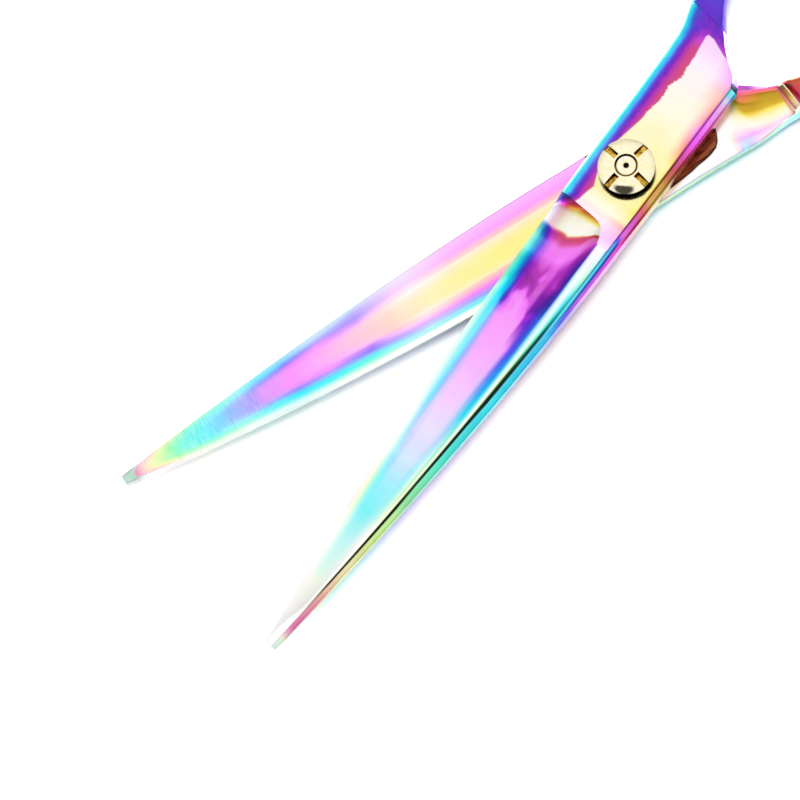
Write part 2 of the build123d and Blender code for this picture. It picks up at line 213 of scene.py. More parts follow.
def inner_point(j, u, edge, spine):
    """Inner face: a polished line inside each long edge, and a shallow hollow between."""
    s = np.clip((u - BLADE_START) / (BLADE_REACH - BLADE_START), 0, 1)
    ride = lerp(0.75, 0.3, s)
    depth = lerp(0.14, 0.03, s) * smooth(u, -12.0, -10.5)
    first = spine - lerp(0.45, 0.2, s)
    if j == COL_SPINE + 1:
        return first, 0.0
    if j == COL_RIDE:
        return edge + ride, 0.0
    t = (j - COL_SPINE - 1) / (COL_RIDE - COL_SPINE - 1)
    v = lerp(first, edge + ride, t)
    return v, depth * (4 * t * (1 - t)) ** 0.6


BLOCK_SPINE = 5.1
BEVEL_W, BEVEL_DROP = 1.5, 1.6
HOLLOW_SAG = 0.36             # how far the hollow grind lies below a straight line across it
SWEEP_LENGTH, SWEEP_POWER = 3.4, 2.6    # the hollow rises to the block along a concave sweep


def thumb_block_edge(u):
    return float(np.interp(u, [-15.5, -8.0, 0.0, 9.0], [-5.42, -5.3, -5.3, -5.15]))


def finger_block_edge(u):
    return float(np.interp(u, [-15.5, -8.0, -4.0, 0.0, 9.0], [-4.82, -4.76, -4.88, -5.02, -5.15]))


def block_profile(v, edge):
    """Height of the pivot block's outer face above the meeting plane."""
    x = np.clip((v - edge) / BEVEL_W, 0, 1)
    return HALF_T - BEVEL_DROP * (1 - math.sqrt(max(0.0, 1 - (1 - x) ** 2)))


def block_row(q, block_edge):
    """Loop at a fraction q of the way from the scallop back to the block's rear."""
    row = np.zeros((COLS, 3))
    for j in range(COLS):
        u = lerp(row_start(j), BLOCK_REAR, q)
        _, blade_spine, ridge, _, facet, drop = blade_measures(max(u, BLADE_START))
        edge = block_edge(u)
        spine = lerp(BLOCK_SPINE, blade_spine, smooth(u, 0.0, 8.5))
        if j == 0:
            v, w = edge, 0.0
        elif j <= COL_RIDGE:
            v = lerp(edge, ridge, HOLLOW_SPACING[j - 1])
            w = block_profile(v, edge)
        elif j <= COL_SPINE:
            v, w = spine_point(j, ridge, spine, HALF_T, facet, drop)
        else:
            v, w = inner_point(j, u, edge, spine)
        row[j] = (u, v, w)
    return row


def round_profile():
    """The handle's section as (across, up) fractions for each column."""
    power = 2 / 2.7
    out = np.zeros((COLS, 2))
    for j in range(COLS):
        if j <= 8:
            angle = lerp(225, 135, j / 8)
        elif j <= 20:
            angle = lerp(135, 45, (j - 8) / 12)
        elif j <= 28:
            angle = lerp(45, -45, (j - 20) / 8)
        else:
            angle = lerp(-45, -135, (j - 28) / 12)
        c, s = math.cos(math.radians(angle)), math.sin(math.radians(angle))
        out[j, 0] = 0.5 + 0.5 * math.copysign(abs(c) ** power, c)
        out[j, 1] = 0.5 + 0.5 * math.copysign(abs(s) ** power, s)
    return out


ROUND = round_profile()


def through(keys, t):
    """Smooth curve through key rows (parameter first), by a cubic with limited slopes."""
    keys = np.asarray(keys, float)
    x, y = keys[:, 0], keys[:, 1:]
    d = (y[1:] - y[:-1]) / (x[1:] - x[:-1])[:, None]
    m = np.zeros_like(y)
    m[0], m[-1] = d[0], d[-1]
    same = d[1:] * d[:-1] > 0
    mean = 2 * d[1:] * d[:-1] / np.where(same, d[1:] + d[:-1], 1.0)
    m[1:-1] = np.where(same, mean, 0.0)
    i = int(np.clip(np.searchsorted(x, t) - 1, 0, len(x) - 2))
    h = x[i + 1] - x[i]
    f = (t - x[i]) / h
    return (
        y[i] * (1 + 2 * f) * (1 - f) ** 2
        + y[i + 1] * f * f * (3 - 2 * f)
        + h * m[i] * f * (1 - f) ** 2
        + h * m[i + 1] * f * f * (f - 1)
    )


# Outline of each neck and shank as pairs: parameter, then left (u, v) and right (u, v).
THUMB_PAIRS = [
    (0.0, -15.5, -5.42, -15.5, 5.1),
    (1.0, -17.4, -5.62, -16.9, 4.35),
    (2.0, -19.0, -5.90, -18.2, 2.6),
    (3.0, -20.9, -6.32, -19.9, 0.75),
    (4.0, -23.6, -6.95, -22.4, -1.35),
    (5.0, -26.6, -7.66, -25.6, -3.3),
    (6.0, -33.6, -9.35, -32.6, -5.2),
    (7.0, -39.8, -11.2, -38.7, -7.0),
]
FINGER_PAIRS = [
    (0.0, -15.5, -4.82, -15.5, 5.1),
    (1.0, -17.2, -4.78, -16.9, 3.45),
    (2.0, -19.2, -4.66, -18.8, 1.98),
    (3.0, -21.3, -4.50, -20.9, 0.60),
    (4.0, -23.6, -4.70, -23.1, -0.20),
    (5.0, -30.6, -5.95, -29.9, -1.95),
    (6.0, -40.6, -8.3, -39.6, -4.2),
    (7.0, -48.0, -10.75, -46.8, -6.1),
]


def neck_row(side_gap, pairs, block_edge, t):
    """Loop across the neck or shank at pair parameter t."""
    lu, lv, ru, rv = through(pairs, t)
    block = block_row(1.0, block_edge)
    edge, spine = block[0, 1], block[COL_SPINE, 1]
    mid_u = 0.5 * (lu + ru)
    rounding = smooth(-mid_u, 15.8, 22.5)
    stepped = smooth(-mid_u, 21.2, 23.0)
    width = math.hypot(ru - lu, rv - lv)
    chamfer = lerp(1.15, 0.35, smooth(-mid_u, 16.5, 21.5)) * smooth(-mid_u, 15.5, 16.3) / width
    low = -(HANDLE_HALF + side_gap) * stepped
    shank_high = HANDLE_HALF - side_gap * smooth(-mid_u, 22, 26)
    high = lerp(HALF_T, shank_high, smooth(-mid_u, 15.5, 21.5))
    row = np.zeros((COLS, 3))
    for j in range(COLS):
        across = (block[j, 1] - edge) / (spine - edge)
        up = block[j, 2] / HALF_T
        if j <= COL_FACET:
            across = lerp(across, ROUND[j, 0], rounding)
            up = lerp(up, ROUND[j, 1], rounding)
        elif j <= COL_SPINE:
            up = lerp(up, ROUND[j, 1], stepped)
            down = (j - COL_FACET) / (COL_SPINE - COL_FACET)
            up += 0.2 * smooth(-mid_u, 15.5, 17.0) * (1 - stepped) * down
            across = lerp(across, ROUND[j, 0], stepped)
        else:
            back = (j - COL_SPINE - 1) / (COLS - COL_SPINE - 1)
            flat = lerp(1 - chamfer, 0.0, back)
            across = lerp(lerp(across, flat, smooth(-mid_u, 15.5, 16.5)), ROUND[j, 0], stepped)
            up = lerp(0.0, ROUND[j, 1], stepped)
        u = lerp(lu, ru, across)
        v = lerp(lv, rv, across)
        row[j] = (u, v, lerp(low, high, up))
    return row


# ------------------------------------------------------------------ the blades
def grid_faces(first, rows, cols=COLS):
    faces = []
    for i in range(rows - 1):
        for j in range(cols):
            n = (j + 1) % cols
            a = first + i * cols
            faces.append((a + j, a + n, a + cols + n, a + cols + j))
    return faces


def across_of(j):
    """Place round the section: -1..0 edge land, 0..1 hollow, 1..2 strip, 2..3 facet,
    3..4 spine wall, 4..5 inner face from the spine to the edge."""
    if j <= COL_WALL:
        return j - 1.0
    if j <= COL_RIDGE:
        return HOLLOW_SPACING[j - 1]
    if j <= COL_STRIP:
        return 1 + (j - COL_RIDGE) / (COL_STRIP - COL_RIDGE)
    if j <= COL_FACET:
        return 2 + (j - COL_STRIP) / (COL_FACET - COL_STRIP)
    if j <= COL_SPINE:
        return 3 + (j - COL_FACET) / (COL_SPINE - COL_FACET)
    return 4 + (j - COL_SPINE) / (COLS - COL_SPINE)


BLADE_ROW, BLOCK_ROW, NECK_ROW = range(3)
PLAN_EDGE = -5.4              # where the plan map puts the cutting side's outline on block and neck


def flow_of(rows, from_edge=None):
    """UV pairs per face: (u, place round the section) and (u, v), lengths in decimetres.
    A row that from_edge names has its v counted along the section from its cutting side."""
    planned = []
    for r, row in enumerate(rows):
        v = row[:, 1]
        if from_edge is not None and from_edge[r]:
            left, right = row[np.argmin(v)], row[np.argmax(v)]
            stretch = math.hypot(right[0] - left[0], right[1] - left[1]) / (right[1] - left[1])
            v = PLAN_EDGE + (v - left[1]) * (stretch if from_edge[r] == NECK_ROW else 1.0)
        planned.append(v)
    flow = []
    for i in range(len(rows) - 1):
        for j in range(COLS):
            n = (j + 1) % COLS
            corners = ((i, j, j), (i, n, j + 1), (i + 1, n, j + 1), (i + 1, j, j))
            flow.append([
                ((rows[r][c][0] / 100, across_of(k)), (rows[r][c][0] / 100, planned[r][c] / 100))
                for r, c, k in corners
            ])
    return flow


def cap_flow(row):
    return [((row[j][0] / 100, across_of(j)), (row[j][0] / 100, row[j][1] / 100)) for j in range(COLS)]


HOLLOW, STRIP, BLOCK, FACET, WALL, INNER, EDGE_BAND, HANDLE = range(8)


def region(row_kind, j):
    """Material of a face from the kind of its row and its column."""
    if j >= COL_SPINE:
        return INNER
    if j >= COL_FACET:
        return WALL
    if j >= COL_STRIP:
        return FACET
    if row_kind == BLOCK and j < COL_WALL:
        return EDGE_BAND
    if row_kind == BLOCK:
        return BLOCK
    return HOLLOW if j < COL_RIDGE else STRIP


def blade_object(name, side, pairs, side_gap, block_edge):
    """Tip, hollow-ground blade, swept-up block, neck and ramp in one closed mesh."""
    forward = [blade_row(q, block_edge) for q in np.linspace(1, 0, 130) ** 1.6]
    backward = [block_row(q, block_edge) for q in np.linspace(0, 1, 36)]
    neck = [neck_row(side_gap, pairs, block_edge, t) for t in np.linspace(0, WELD_T, 52)[1:]]
    behind = len(backward) - 1
    rows = np.array(forward + backward[1:] + neck)
    kinds = [HOLLOW] * (len(forward) - 1) + [BLOCK] * (behind + len(neck))
    points = side.place(rows.reshape(-1, 3))
    faces = grid_faces(0, len(rows))
    from_edge = [BLADE_ROW] * len(forward) + [BLOCK_ROW] * behind + [NECK_ROW] * len(neck)
    flow = flow_of(rows, from_edge)
    slots = [region(kind, j) for kind in kinds for j in range(COLS)]
    faces.append(tuple(range(COLS)))
    flow.append(cap_flow(rows[0]))
    slots.append(WALL)
    start = (len(rows) - 1) * COLS
    faces.append(tuple(start + j for j in range(COLS)))
    flow.append(cap_flow(rows[-1]))
    slots.append(HANDLE)
    sharp = set()

    def column(j, first, last):
        for i in range(first, last):
            sharp.add((i * COLS + j, (i + 1) * COLS + j))

    def row(i, first, last):
        for j in range(first, last):
            sharp.add((i * COLS + j % COLS, i * COLS + (j + 1) % COLS))

    meet = len(forward) - 1
    block_end = meet + behind
    ramp, weld = block_end + 40, block_end + 50
    for j, first, end in (
        (0, 0, ramp), (COL_WALL, 0, meet), (COL_RIDGE, 0, meet - 8), (COL_STRIP, 0, weld),
        (COL_STRIP + 2, block_end, weld), (COL_FACET, 0, weld), (COL_SPINE, 0, ramp),
        (COL_SPINE + 1, 0, ramp), (COL_RIDE, 0, meet),
    ):
        column(j, first, end)
    row(0, 0, COLS)
    row(meet, COL_WALL, COL_RIDGE)
    obj = make_object(name, points, faces, sharp, flow)
    turn_out(obj)
    for poly, slot in zip(obj.data.polygons, slots):
        poly.material_index = slot
    return obj


def handle_object(name, side, pairs, side_gap, block_edge, centre):
    """Shank, flared into a rounded ring by a smooth join, in one closed mesh."""
    shank = np.array([neck_row(side_gap, pairs, block_edge, t) for t in np.linspace(WELD_T, 7.0, 60)])
    mid_w = -side_gap / 2
    segments, around = 96, 28
    wall, reach_cells = 8, 12         # the hole's size in the ring's grid: up the wall, and along it
    c = np.array(centre)
    last = shank[-1]
    toward = np.mean(last, 0)[:2] - c
    bearing = math.atan2(toward[1], toward[0])
    r_mid, r_half = 0.5 * (RING_R_IN + RING_R_OUT), 0.5 * (RING_R_OUT - RING_R_IN)
    power = 2 / 2.8
    step = 2 * math.pi / segments
    ring = np.zeros((segments, around, 3))
    for i in range(segments):
        angle = bearing + (i + 0.5) * step
        for k in range(around):
            # the first columns run up the outer wall; the rest go over the top, inside and bottom
            phi = lerp(-52, 52, k / wall) if k <= wall else lerp(52, 308, (k - wall) / (around - wall))
            cp, sp = math.cos(math.radians(phi)), math.sin(math.radians(phi))
            r = r_mid + r_half * math.copysign(abs(cp) ** power, cp)
            w = mid_w + HANDLE_HALF * math.copysign(abs(sp) ** power, sp)
            ring[i, k] = (c[0] + r * math.cos(angle), c[1] + r * math.sin(angle), w)
    # the hole faces the shank, and its corners run in the same order as the shank's columns
    across = [(segments - 7 + i) % segments for i in range(reach_cells + 1)]
    ring_cells = set(across[:-1])
    left = last[4]
    if np.linalg.norm(ring[across[0], 4] - left) > np.linalg.norm(ring[across[-1], 4] - left):
        across = across[::-1]
    hole = [(across[0], k) for k in range(wall + 1)]
    hole += [(across[i], wall) for i in range(1, reach_cells + 1)]
    hole += [(across[-1], k) for k in range(wall - 1, -1, -1)]
    hole += [(across[i], 0) for i in range(reach_cells - 1, 0, -1)]
    rim = np.array([ring[i, k] for i, k in hole])
    # tangents: along the shank at its end; into the ring's surface, away from the hole
    along = shank[-1] - shank[-2]
    reach = np.linalg.norm(np.mean(rim, 0) - np.mean(last, 0))
    t0 = along / np.linalg.norm(along, axis=1)[:, None] * reach * 0.9
    t1 = np.zeros_like(rim)
    outward = across[0] - across[1]
    for n, (i, k) in enumerate(hole):
        neighbours = []
        if k in (0, wall):
            neighbours.append(ring[i, (k + (1 if k == wall else -1)) % around])
        if i in (across[0], across[-1]):
            neighbours.append(ring[(i + (outward if i == across[0] else -outward)) % segments, k])
        ring_dir = sum((other - ring[i, k]) / np.linalg.norm(other - ring[i, k]) for other in neighbours)
        t1[n] = ring_dir / np.linalg.norm(ring_dir) * reach * 0.8
    join = []
    for f in np.linspace(0, 1, 15)[1:-1]:
        h00, h10 = (1 + 2 * f) * (1 - f) ** 2, f * (1 - f) ** 2
        h01, h11 = f * f * (3 - 2 * f), f * f * (f - 1)
        join.append(last * h00 + t0 * h10 + rim * h01 + t1 * h11)
    rows = np.concatenate([shank, np.array(join)])
    points = np.concatenate([rows.reshape(-1, 3), ring.reshape(-1, 3)])
    base = len(rows) * COLS
    faces = grid_faces(0, len(rows))
    flow = flow_of(rows)
    faces.append(tuple(range(COLS)))
    flow.append(cap_flow(rows[0]))
    end = (len(rows) - 1) * COLS
    rim_ids = [base + i * around + k for i, k in hole]
    for j in range(COLS):
        n = (j + 1) % COLS
        faces.append((end + j, end + n, rim_ids[n], rim_ids[j]))
        flow.append([
            ((p[0] / 100, across_of(k)), (p[0] / 100, p[1] / 100))
            for p, k in ((rows[-1][j], j), (rows[-1][n], j + 1), (rim[n], j + 1), (rim[j], j))
        ])
    for i in range(segments):
        for k in range(around):
            if i in ring_cells and k < wall:
                continue
            n, m = (i + 1) % segments, (k + 1) % around
            corners = ((i, k), (n, k), (n, m), (i, m))
            faces.append(tuple(base + a * around + b for a, b in corners))
            flow.append([
                ((ring[a, b][0] / 100, 5 * k / around), (ring[a, b][0] / 100, ring[a, b][1] / 100))
                for a, b in corners
            ])
    obj = make_object(name, side.place(points), faces, (), flow)
    bm = bmesh.new()
    bm.from_mesh(obj.data)
    bm.verts.ensure_lookup_table()
    soft = [bm.verts[i] for i in (*range(len(shank) * COLS, base), *rim_ids)]
    for _ in range(12):
        bmesh.ops.smooth_vert(
            bm, verts=soft, factor=0.5, use_axis_x=True, use_axis_y=True, use_axis_z=True
        )
    # ring vertices left inside the hole belong to no face
    bmesh.ops.delete(bm, geom=[v for v in bm.verts if not v.link_faces], context="VERTS")
    bm.to_mesh(obj.data)
    bm.free()
    turn_out(obj)
    for poly in obj.data.polygons:
        poly.material_index = HANDLE
    return obj


def cylinder_tool(radius, low, high, segments=96):
    """Closed round tool from low to high, in mm, for a cut about the pivot axis."""
    angles = np.arange(segments) * 2 * math.pi / segments
    ring = np.stack([radius * np.cos(angles), radius * np.sin(angles)], 1)
    bottom = np.column_stack([ring, np.full(segments, low)])
    top = np.column_stack([ring, np.full(segments, high)])
    faces = []
    for k in range(segments):
        n = (k + 1) % segments
        faces.append((k, n, segments + n, segments + k))
    faces.append(tuple(range(segments - 1, -1, -1)))
    faces.append(tuple(range(segments, 2 * segments)))
    return make_object("tool", np.concatenate([bottom, top]) * MM, faces, smooth_shade=False)


THUMB_HALF = THUMB, THUMB_PAIRS, HALF_GAP, thumb_block_edge
FINGER_HALF = FINGER, FINGER_PAIRS, 0.0, finger_block_edge
thumb_blade = blade_object("thumb_blade_coated", *THUMB_HALF)
finger_blade = blade_object("finger_blade_coated", *FINGER_HALF)
thumb_handle = handle_object("thumb_handle_coated", *THUMB_HALF, THUMB_RING)
finger_handle = handle_object("finger_handle_coated", *FINGER_HALF, FINGER_RING)

TOP_Z = 2 * HALF_T + HALF_GAP
for blade, radius, low, high in (
    (thumb_blade, 2.7, 2.0, 7.0),                # pivot bush
    (thumb_blade, 3.1, TOP_Z - 0.75, 7.0),       # well under the dial
    (finger_blade, 3.12, -1.0, 0.9),             # stud's head
    (finger_blade, 2.02, -1.0, 4.0),             # stud
    (finger_blade, 4.22, HALF_T - 0.35, 4.0),    # glide ring
):
    cut(blade, cylinder_tool(radius, low, high))


# ------------------------------------------------------------------ materials
def linear(hex_colour):
    """sRGB hex to linear RGBA."""
    out = []
    for i in (0, 2, 4):
        c = int(hex_colour[i:i + 2], 16) / 255
        out.append(c / 12.92 if c <= 0.04045 else ((c + 0.055) / 1.055) ** 2.4)
    return (*out, 1.0)


class Graph:
    """A node material under construction, with short calls for the nodes used here."""

    def __init__(self, name):
        self.mat = bpy.data.materials.new(name)
        self.mat.use_nodes = True
        self.tree = self.mat.node_tree
        self.bsdf = self.tree.nodes["Principled BSDF"]

    def node(self, kind, **settings):
        node = self.tree.nodes.new(kind)
        for key, value in settings.items():
            setattr(node, key, value)
        return node

    def feed(self, socket, value):
        if isinstance(value, bpy.types.NodeSocket):
            self.tree.links.new(value, socket)
        else:
            socket.default_value = value

    def math(self, operation, a, b=0.0, clamp=False):
        node = self.node("ShaderNodeMath", operation=operation, use_clamp=clamp)
        for socket, value in zip(node.inputs, (a, b)):
            self.feed(socket, value)
        return node.outputs[0]

    def span(self, x, low, high, start=0.0, end=1.0):
        """Take x from low..high to start..end, held at both ends."""
        node = self.node("ShaderNodeMapRange")
        for socket, value in zip(node.inputs, (x, low, high, start, end)):
            self.feed(socket, value)
        return node.outputs[0]

    def ramp(self, x, stops):
        """Colour ramp over the stops' own range; a stop is (place, hex or three values)."""
        low, high = stops[0][0], stops[-1][0]
        node = self.node("ShaderNodeValToRGB")
        node.color_ramp.interpolation = "LINEAR"
        elements = node.color_ramp.elements
        for place, _ in stops[1:-1]:
            elements.new((place - low) / (high - low))
        for element, (_, colour) in zip(elements, stops):
            element.color = linear(colour) if isinstance(colour, str) else (*colour, 1.0)
        self.feed(node.inputs[0], self.span(x, low, high))
        return node.outputs[0]

    def mix(self, factor, a, b):
        node = self.node("ShaderNodeMix", data_type="RGBA", blend_type="MIX")
        self.feed(node.inputs[0], factor)
        self.feed(node.inputs[6], a)
        self.feed(node.inputs[7], b)
        return node.outputs[2]

    def vector(self, operation, a, b=(0, 0, 0), c=(0, 0, 0)):
        node = self.node("ShaderNodeVectorMath", operation=operation)
        for socket, value in zip(node.inputs, (a, b, c)):
            self.feed(socket, value)
        return node.outputs[0]

    def noise(self, vector, scale, detail=2.0, roughness=0.5):
        node = self.node("ShaderNodeTexNoise")
        self.feed(node.inputs["Vector"], vector)
        node.inputs["Scale"].default_value = scale
        node.inputs["Detail"].default_value = detail
        node.inputs["Roughness"].default_value = roughness
        return node.outputs["Fac"]

    def place(self, layer):
        """The two coordinates of a UV layer, the first in mm."""
        uv = self.node("ShaderNodeUVMap", uv_map=layer)
        split = self.node("ShaderNodeSeparateXYZ")
        self.feed(split.inputs[0], uv.outputs[0])
        return uv.outputs[0], self.math("MULTIPLY", split.outputs[0], 100.0), split.outputs[1]

    def object_mm(self):
        """Place in the frame in mm."""
        texture = self.node("ShaderNodeTexCoord")
        scaled = self.vector("SCALE", texture.outputs["Object"])
        scaled.node.inputs["Scale"].default_value = 1000.0
        split = self.node("ShaderNodeSeparateXYZ")
        self.feed(split.inputs[0], scaled)
        return scaled, split.outputs

    def bump(self, height, strength, distance):
        node = self.node("ShaderNodeBump")
        node.inputs["Strength"].default_value = strength
        node.inputs["Distance"].default_value = distance
        self.feed(node.inputs["Height"], height)
        self.feed(self.bsdf.inputs["Normal"], node.outputs[0])

    def metal(self, colour, roughness):
        self.bsdf.inputs["Metallic"].default_value = 1.0
        self.feed(self.bsdf.inputs["Base Color"], colour)
        self.feed(self.bsdf.inputs["Roughness"], roughness)


# The coating's colours in the order that they follow as the oxide film thickens.
TEMPER = [
    (0.00, "fff0b8"), (0.05, "ffee58"), (0.11, "ffc234"), (0.17, "ff8040"), (0.23, "ff4a6a"),
    (0.30, "ff4cc8"), (0.345, "fa4cff"), (0.39, "cc3cff"), (0.44, "8038ff"), (0.50, "4464ff"),
    (0.57, "22b0ff"), (0.64, "20eeff"), (0.72, "38ffd4"), (0.79, "78ffa0"), (0.86, "ccff78"),
    (0.92, "fff070"), (0.97, "ffa484"), (1.03, "ff64b8"), (1.10, "98e4c0"), (1.20, "607060"),
]
PHASE_MAX = 1.2


def full(stops):
    """Stops of (place, phase, whiteness, darkness), where the last ones may be left out as none."""
    return [(*stop, 0.0, 0.0)[:4] for stop in stops]


def film(graph, along_at, along, across_at, sets, ripple=None):
    """Coating colour with painted light: phase picks the film's colour, whiteness paints highlights and
    reflections as white, and darkness paints shade and dark reflection lines as near black.  A stop of
    along is (place, phase, whiteness, darkness).  The stops of each set add to those three across the
    section; a set holds at its own place along, and gives way to the next in between."""
    base = graph.ramp(along_at, [(x, (p / PHASE_MAX, w, d)) for x, p, w, d in full(along)])
    shift, before = None, None
    for place, stops in sets:
        one = graph.ramp(across_at, [
            (x, (0.5 + 0.5 * p / PHASE_MAX, 0.5 + 0.5 * w, 0.5 + 0.5 * d)) for x, p, w, d in full(stops)
        ])
        shift = one if shift is None else graph.mix(graph.span(along_at, before, place), shift, one)
        before = place
    shift = graph.vector("MULTIPLY_ADD", shift, (2, 2, 2), (-1, -1, -1))
    split = graph.node("ShaderNodeSeparateXYZ")
    graph.feed(split.inputs[0], graph.vector("ADD", base, shift))
    phase = graph.math("MULTIPLY", split.outputs[0], PHASE_MAX)
    if ripple is not None:
        phase = graph.math("ADD", phase, ripple)
    colour = graph.ramp(phase, TEMPER)
    # painted highlight: whiteness mixes the film towards white
    white = graph.math("ADD", split.outputs[1], 0.0, clamp=True)
    colour = graph.mix(white, colour, (1, 1, 1, 1))
    # painted shade: darkness mixes the film towards near black
    dark = graph.math("ADD", split.outputs[2], 0.0, clamp=True)
    return graph.mix(dark, colour, (0.006, 0.005, 0.005, 1))


def polish(graph, colour, plan, roughness=0.17):
    """Coated steel: a polished metal with fine lengthways scratches and slight clouding."""
    stretched = graph.vector("MULTIPLY", plan, (30.0, 900.0, 1.0))
    lines = graph.noise(stretched, 1.0, 3.0, 0.6)
    clouds = graph.noise(plan, 16.0, 3.0)
    rough = graph.span(clouds, 0.3, 0.7, roughness - 0.04, roughness + 0.06)
    graph.metal(colour, rough)
    graph.bump(lines, 0.06, 0.00002)
    return graph.mat


def ripple_of(graph, plan, scale, amount):
    """A slow unevenness of the film, either way by amount."""
    return graph.span(graph.noise(plan, scale, 3.0), 0.25, 0.75, -amount, amount)


def coated(name):
    """A graph, its plan map, and the places along the piece and round its section."""
    g = Graph(name)
    plan = g.place("plan")[0]
    _, u, k = g.place("flow")
    return g, plan, u, k


def levels(stops):
    """Grey ramp stops from (place, value) pairs."""
    return [(place, (value,) * 3) for place, value in stops]


def hollow_material():
    g, plan, u, k = coated("coated_hollow_grind")
    bend = g.ramp(k, levels([
        (0, 0.25), (0.22, 0.22), (0.42, 0.25), (0.52, 0.22), (0.68, 0.33), (0.78, 0.42), (0.84, 0.55),
        (0.9, 0.8), (1.0, 1.0),
    ]))
    close = g.math("MULTIPLY", g.span(u, 7.9, 9.6), g.span(u, 13.0, 17.0, 6.8, 0.0))
    u_bent = g.math("ADD", u, g.math("MULTIPLY", g.math("SUBTRACT", bend, 0.25), close))
    wisps = g.noise(g.vector("MULTIPLY", plan, (14.0, 42.0, 1.0)), 1.0, 2.0)
    wisps = g.span(wisps, 0.35, 0.65, -1.0, 1.0)
    wisp_zone = g.math("MULTIPLY", g.span(u, 14.5, 17.0), g.span(u, 24.0, 20.0))
    u_bent = g.math("ADD", u_bent, g.math("MULTIPLY", wisps, g.math("MULTIPLY", wisp_zone, 2.2)))
    along = [
        (6.4, 0.4, 0, 0.75), (7.2, 0.15, 0, 0.35), (7.7, 0.06, 0.15, 0.05), (8.1, 0.03, 0.7),
        (10.2, 0, 0.85), (10.5, 0.2, 0.25, 0.1), (10.8, 0.24, 0.05, 0.4), (11.5, 0.27, 0.05, 0.3),
        (12.4, 0.34, 0.18, 0.05), (14.2, 0.345, 0.15, 0.05), (15.6, 0.34, 0.02, 0.45),
        (18.5, 0.345, 0.02, 0.6), (20.4, 0.36, 0.02, 0.4), (21.5, 0.345, 0.15, 0.05), (23, 0.345, 0.28),
        (29, 0.345, 0.4), (36, 0.345, 0.6), (40, 0.42, 0.76), (44, 0.58, 0.68), (48, 0.64, 0.38),
        (52, 0.655, 0.28), (56, 0.67, 0.57), (60, 0.7, 0.76), (63, 0.9, 0.86), (67, 0.92, 0.92),
        (69, 1, 0.93), (70.6, 1.02, 0.9), (71.3, 0.7, 0.68, 0.06), (72, 0.72, 0.72, 0.06),
    ]
    root = [
        (0, 0.42, 0.35, -0.4), (0.05, 0.36, 0.1, -0.5), (0.12, 0.29, -0.05, -0.4), (0.2, 0.17, -0.1, -0.15),
        (0.28, 0.06, -0.05), (0.42, 0, 0, 0.05), (0.58, 0), (0.63, 0, 0.1, -0.3), (0.71, 0, 0.1, -0.3),
        (0.76, 0.04, -0.02), (0.86, 0.06, -0.1, 0.05), (0.95, 0.11, -0.1, 0.05), (1, 0.14, -0.1, 0.1),
    ]
    wedge = [
        (0, 0.45, 0.5), (0.05, 0.34, 0.2), (0.12, 0.3, -0.22), (0.2, 0.27, -0.1), (0.25, 0.12, 0.05),
        (0.3, 0.02, 0.03), (0.37, 0), (0.73, 0, 0.02), (0.78, 0.06, -0.28, 0.3), (0.86, 0.09, -0.28, 0.4),
        (0.93, 0.13, -0.28, 0.35), (1, 0.18, -0.28, 0.25),
    ]
    third = [
        (0, 0.4, 0.45), (0.06, 0.34, 0.35), (0.12, 0.31, -0.12), (0.2, 0.28, -0.15), (0.27, 0.12, 0.05),
        (0.33, 0.02, 0.02), (0.42, 0), (0.82, 0, 0.02), (0.87, 0.05, -0.15, 0.03),
        (0.92, 0.13, -0.34, 0.12), (1, 0.18, -0.34, 0.18),
    ]
    middle = [
        (0, 0.4, 0.35), (0.07, 0.36, 0.3), (0.13, 0.3), (0.2, 0.28, -0.4), (0.25, 0.26, -0.35),
        (0.32, 0.12, 0.05), (0.42, 0.01, 0.02), (0.76, 0.02, 0.02), (0.82, 0.12, 0.08), (0.88, 0.24, -0.25),
        (0.94, 0.27, -0.5, 0.02), (1, 0.28, -0.6, 0.08),
    ]
    outer = [
        (0, 0.3, 0.45), (0.1, 0.3, 0.4), (0.2, 0.06, -0.1), (0.28, 0.02, -0.28), (0.36, 0, -0.2), (0.45, 0),
        (0.75, 0), (0.85, 0.02, -0.2), (0.92, 0.04, -0.15), (1, 0.1, 0.3),
    ]
    late = [
        (0, 0.3, 0.5), (0.12, 0.25, 0.5), (0.2, 0.15, 0.4), (0.3, 0, 0.15), (0.4, 0, -0.08),
        (0.55, 0, -0.1), (0.7, 0, -0.05), (0.8, 0, 0.1), (0.9, 0.02, 0.35), (1, 0.1, 0.55),
    ]
    end = [(0, 0.05, 0.05), (0.5, 0), (1, 0.02, 0.05)]
    crimson = [
        (0, 0.42, 0.3), (0.05, 0.38, 0.1, 0.05), (0.12, 0.27, -0.1, 0.22), (0.2, 0.18, -0.1, 0.22),
        (0.28, 0.07, -0.05, 0.15), (0.4, 0, 0, 0.05), (0.7, 0), (0.83, -0.01, 0, 0.05),
        (0.89, -0.05, 0, 0.25), (0.95, -0.06, -0.05, 0.3), (1, -0.04, -0.1, 0.35),
    ]
    sets = [
        (13.0, crimson), (18.0, root), (23.0, wedge), (26.5, third), (36.0, middle), (45.0, outer),
        (54.0, late), (64.0, end),
    ]
    colour = film(g, u_bent, along, k, sets, ripple_of(g, plan, 60.0, 0.008))
    land = g.math("MULTIPLY", g.span(k, 0.0, -0.2), g.span(u, 24.0, 50.0, 0.85, 0.35))
    colour = g.mix(land, colour, linear("6a6c62"))
    return polish(g, colour, plan, 0.16)


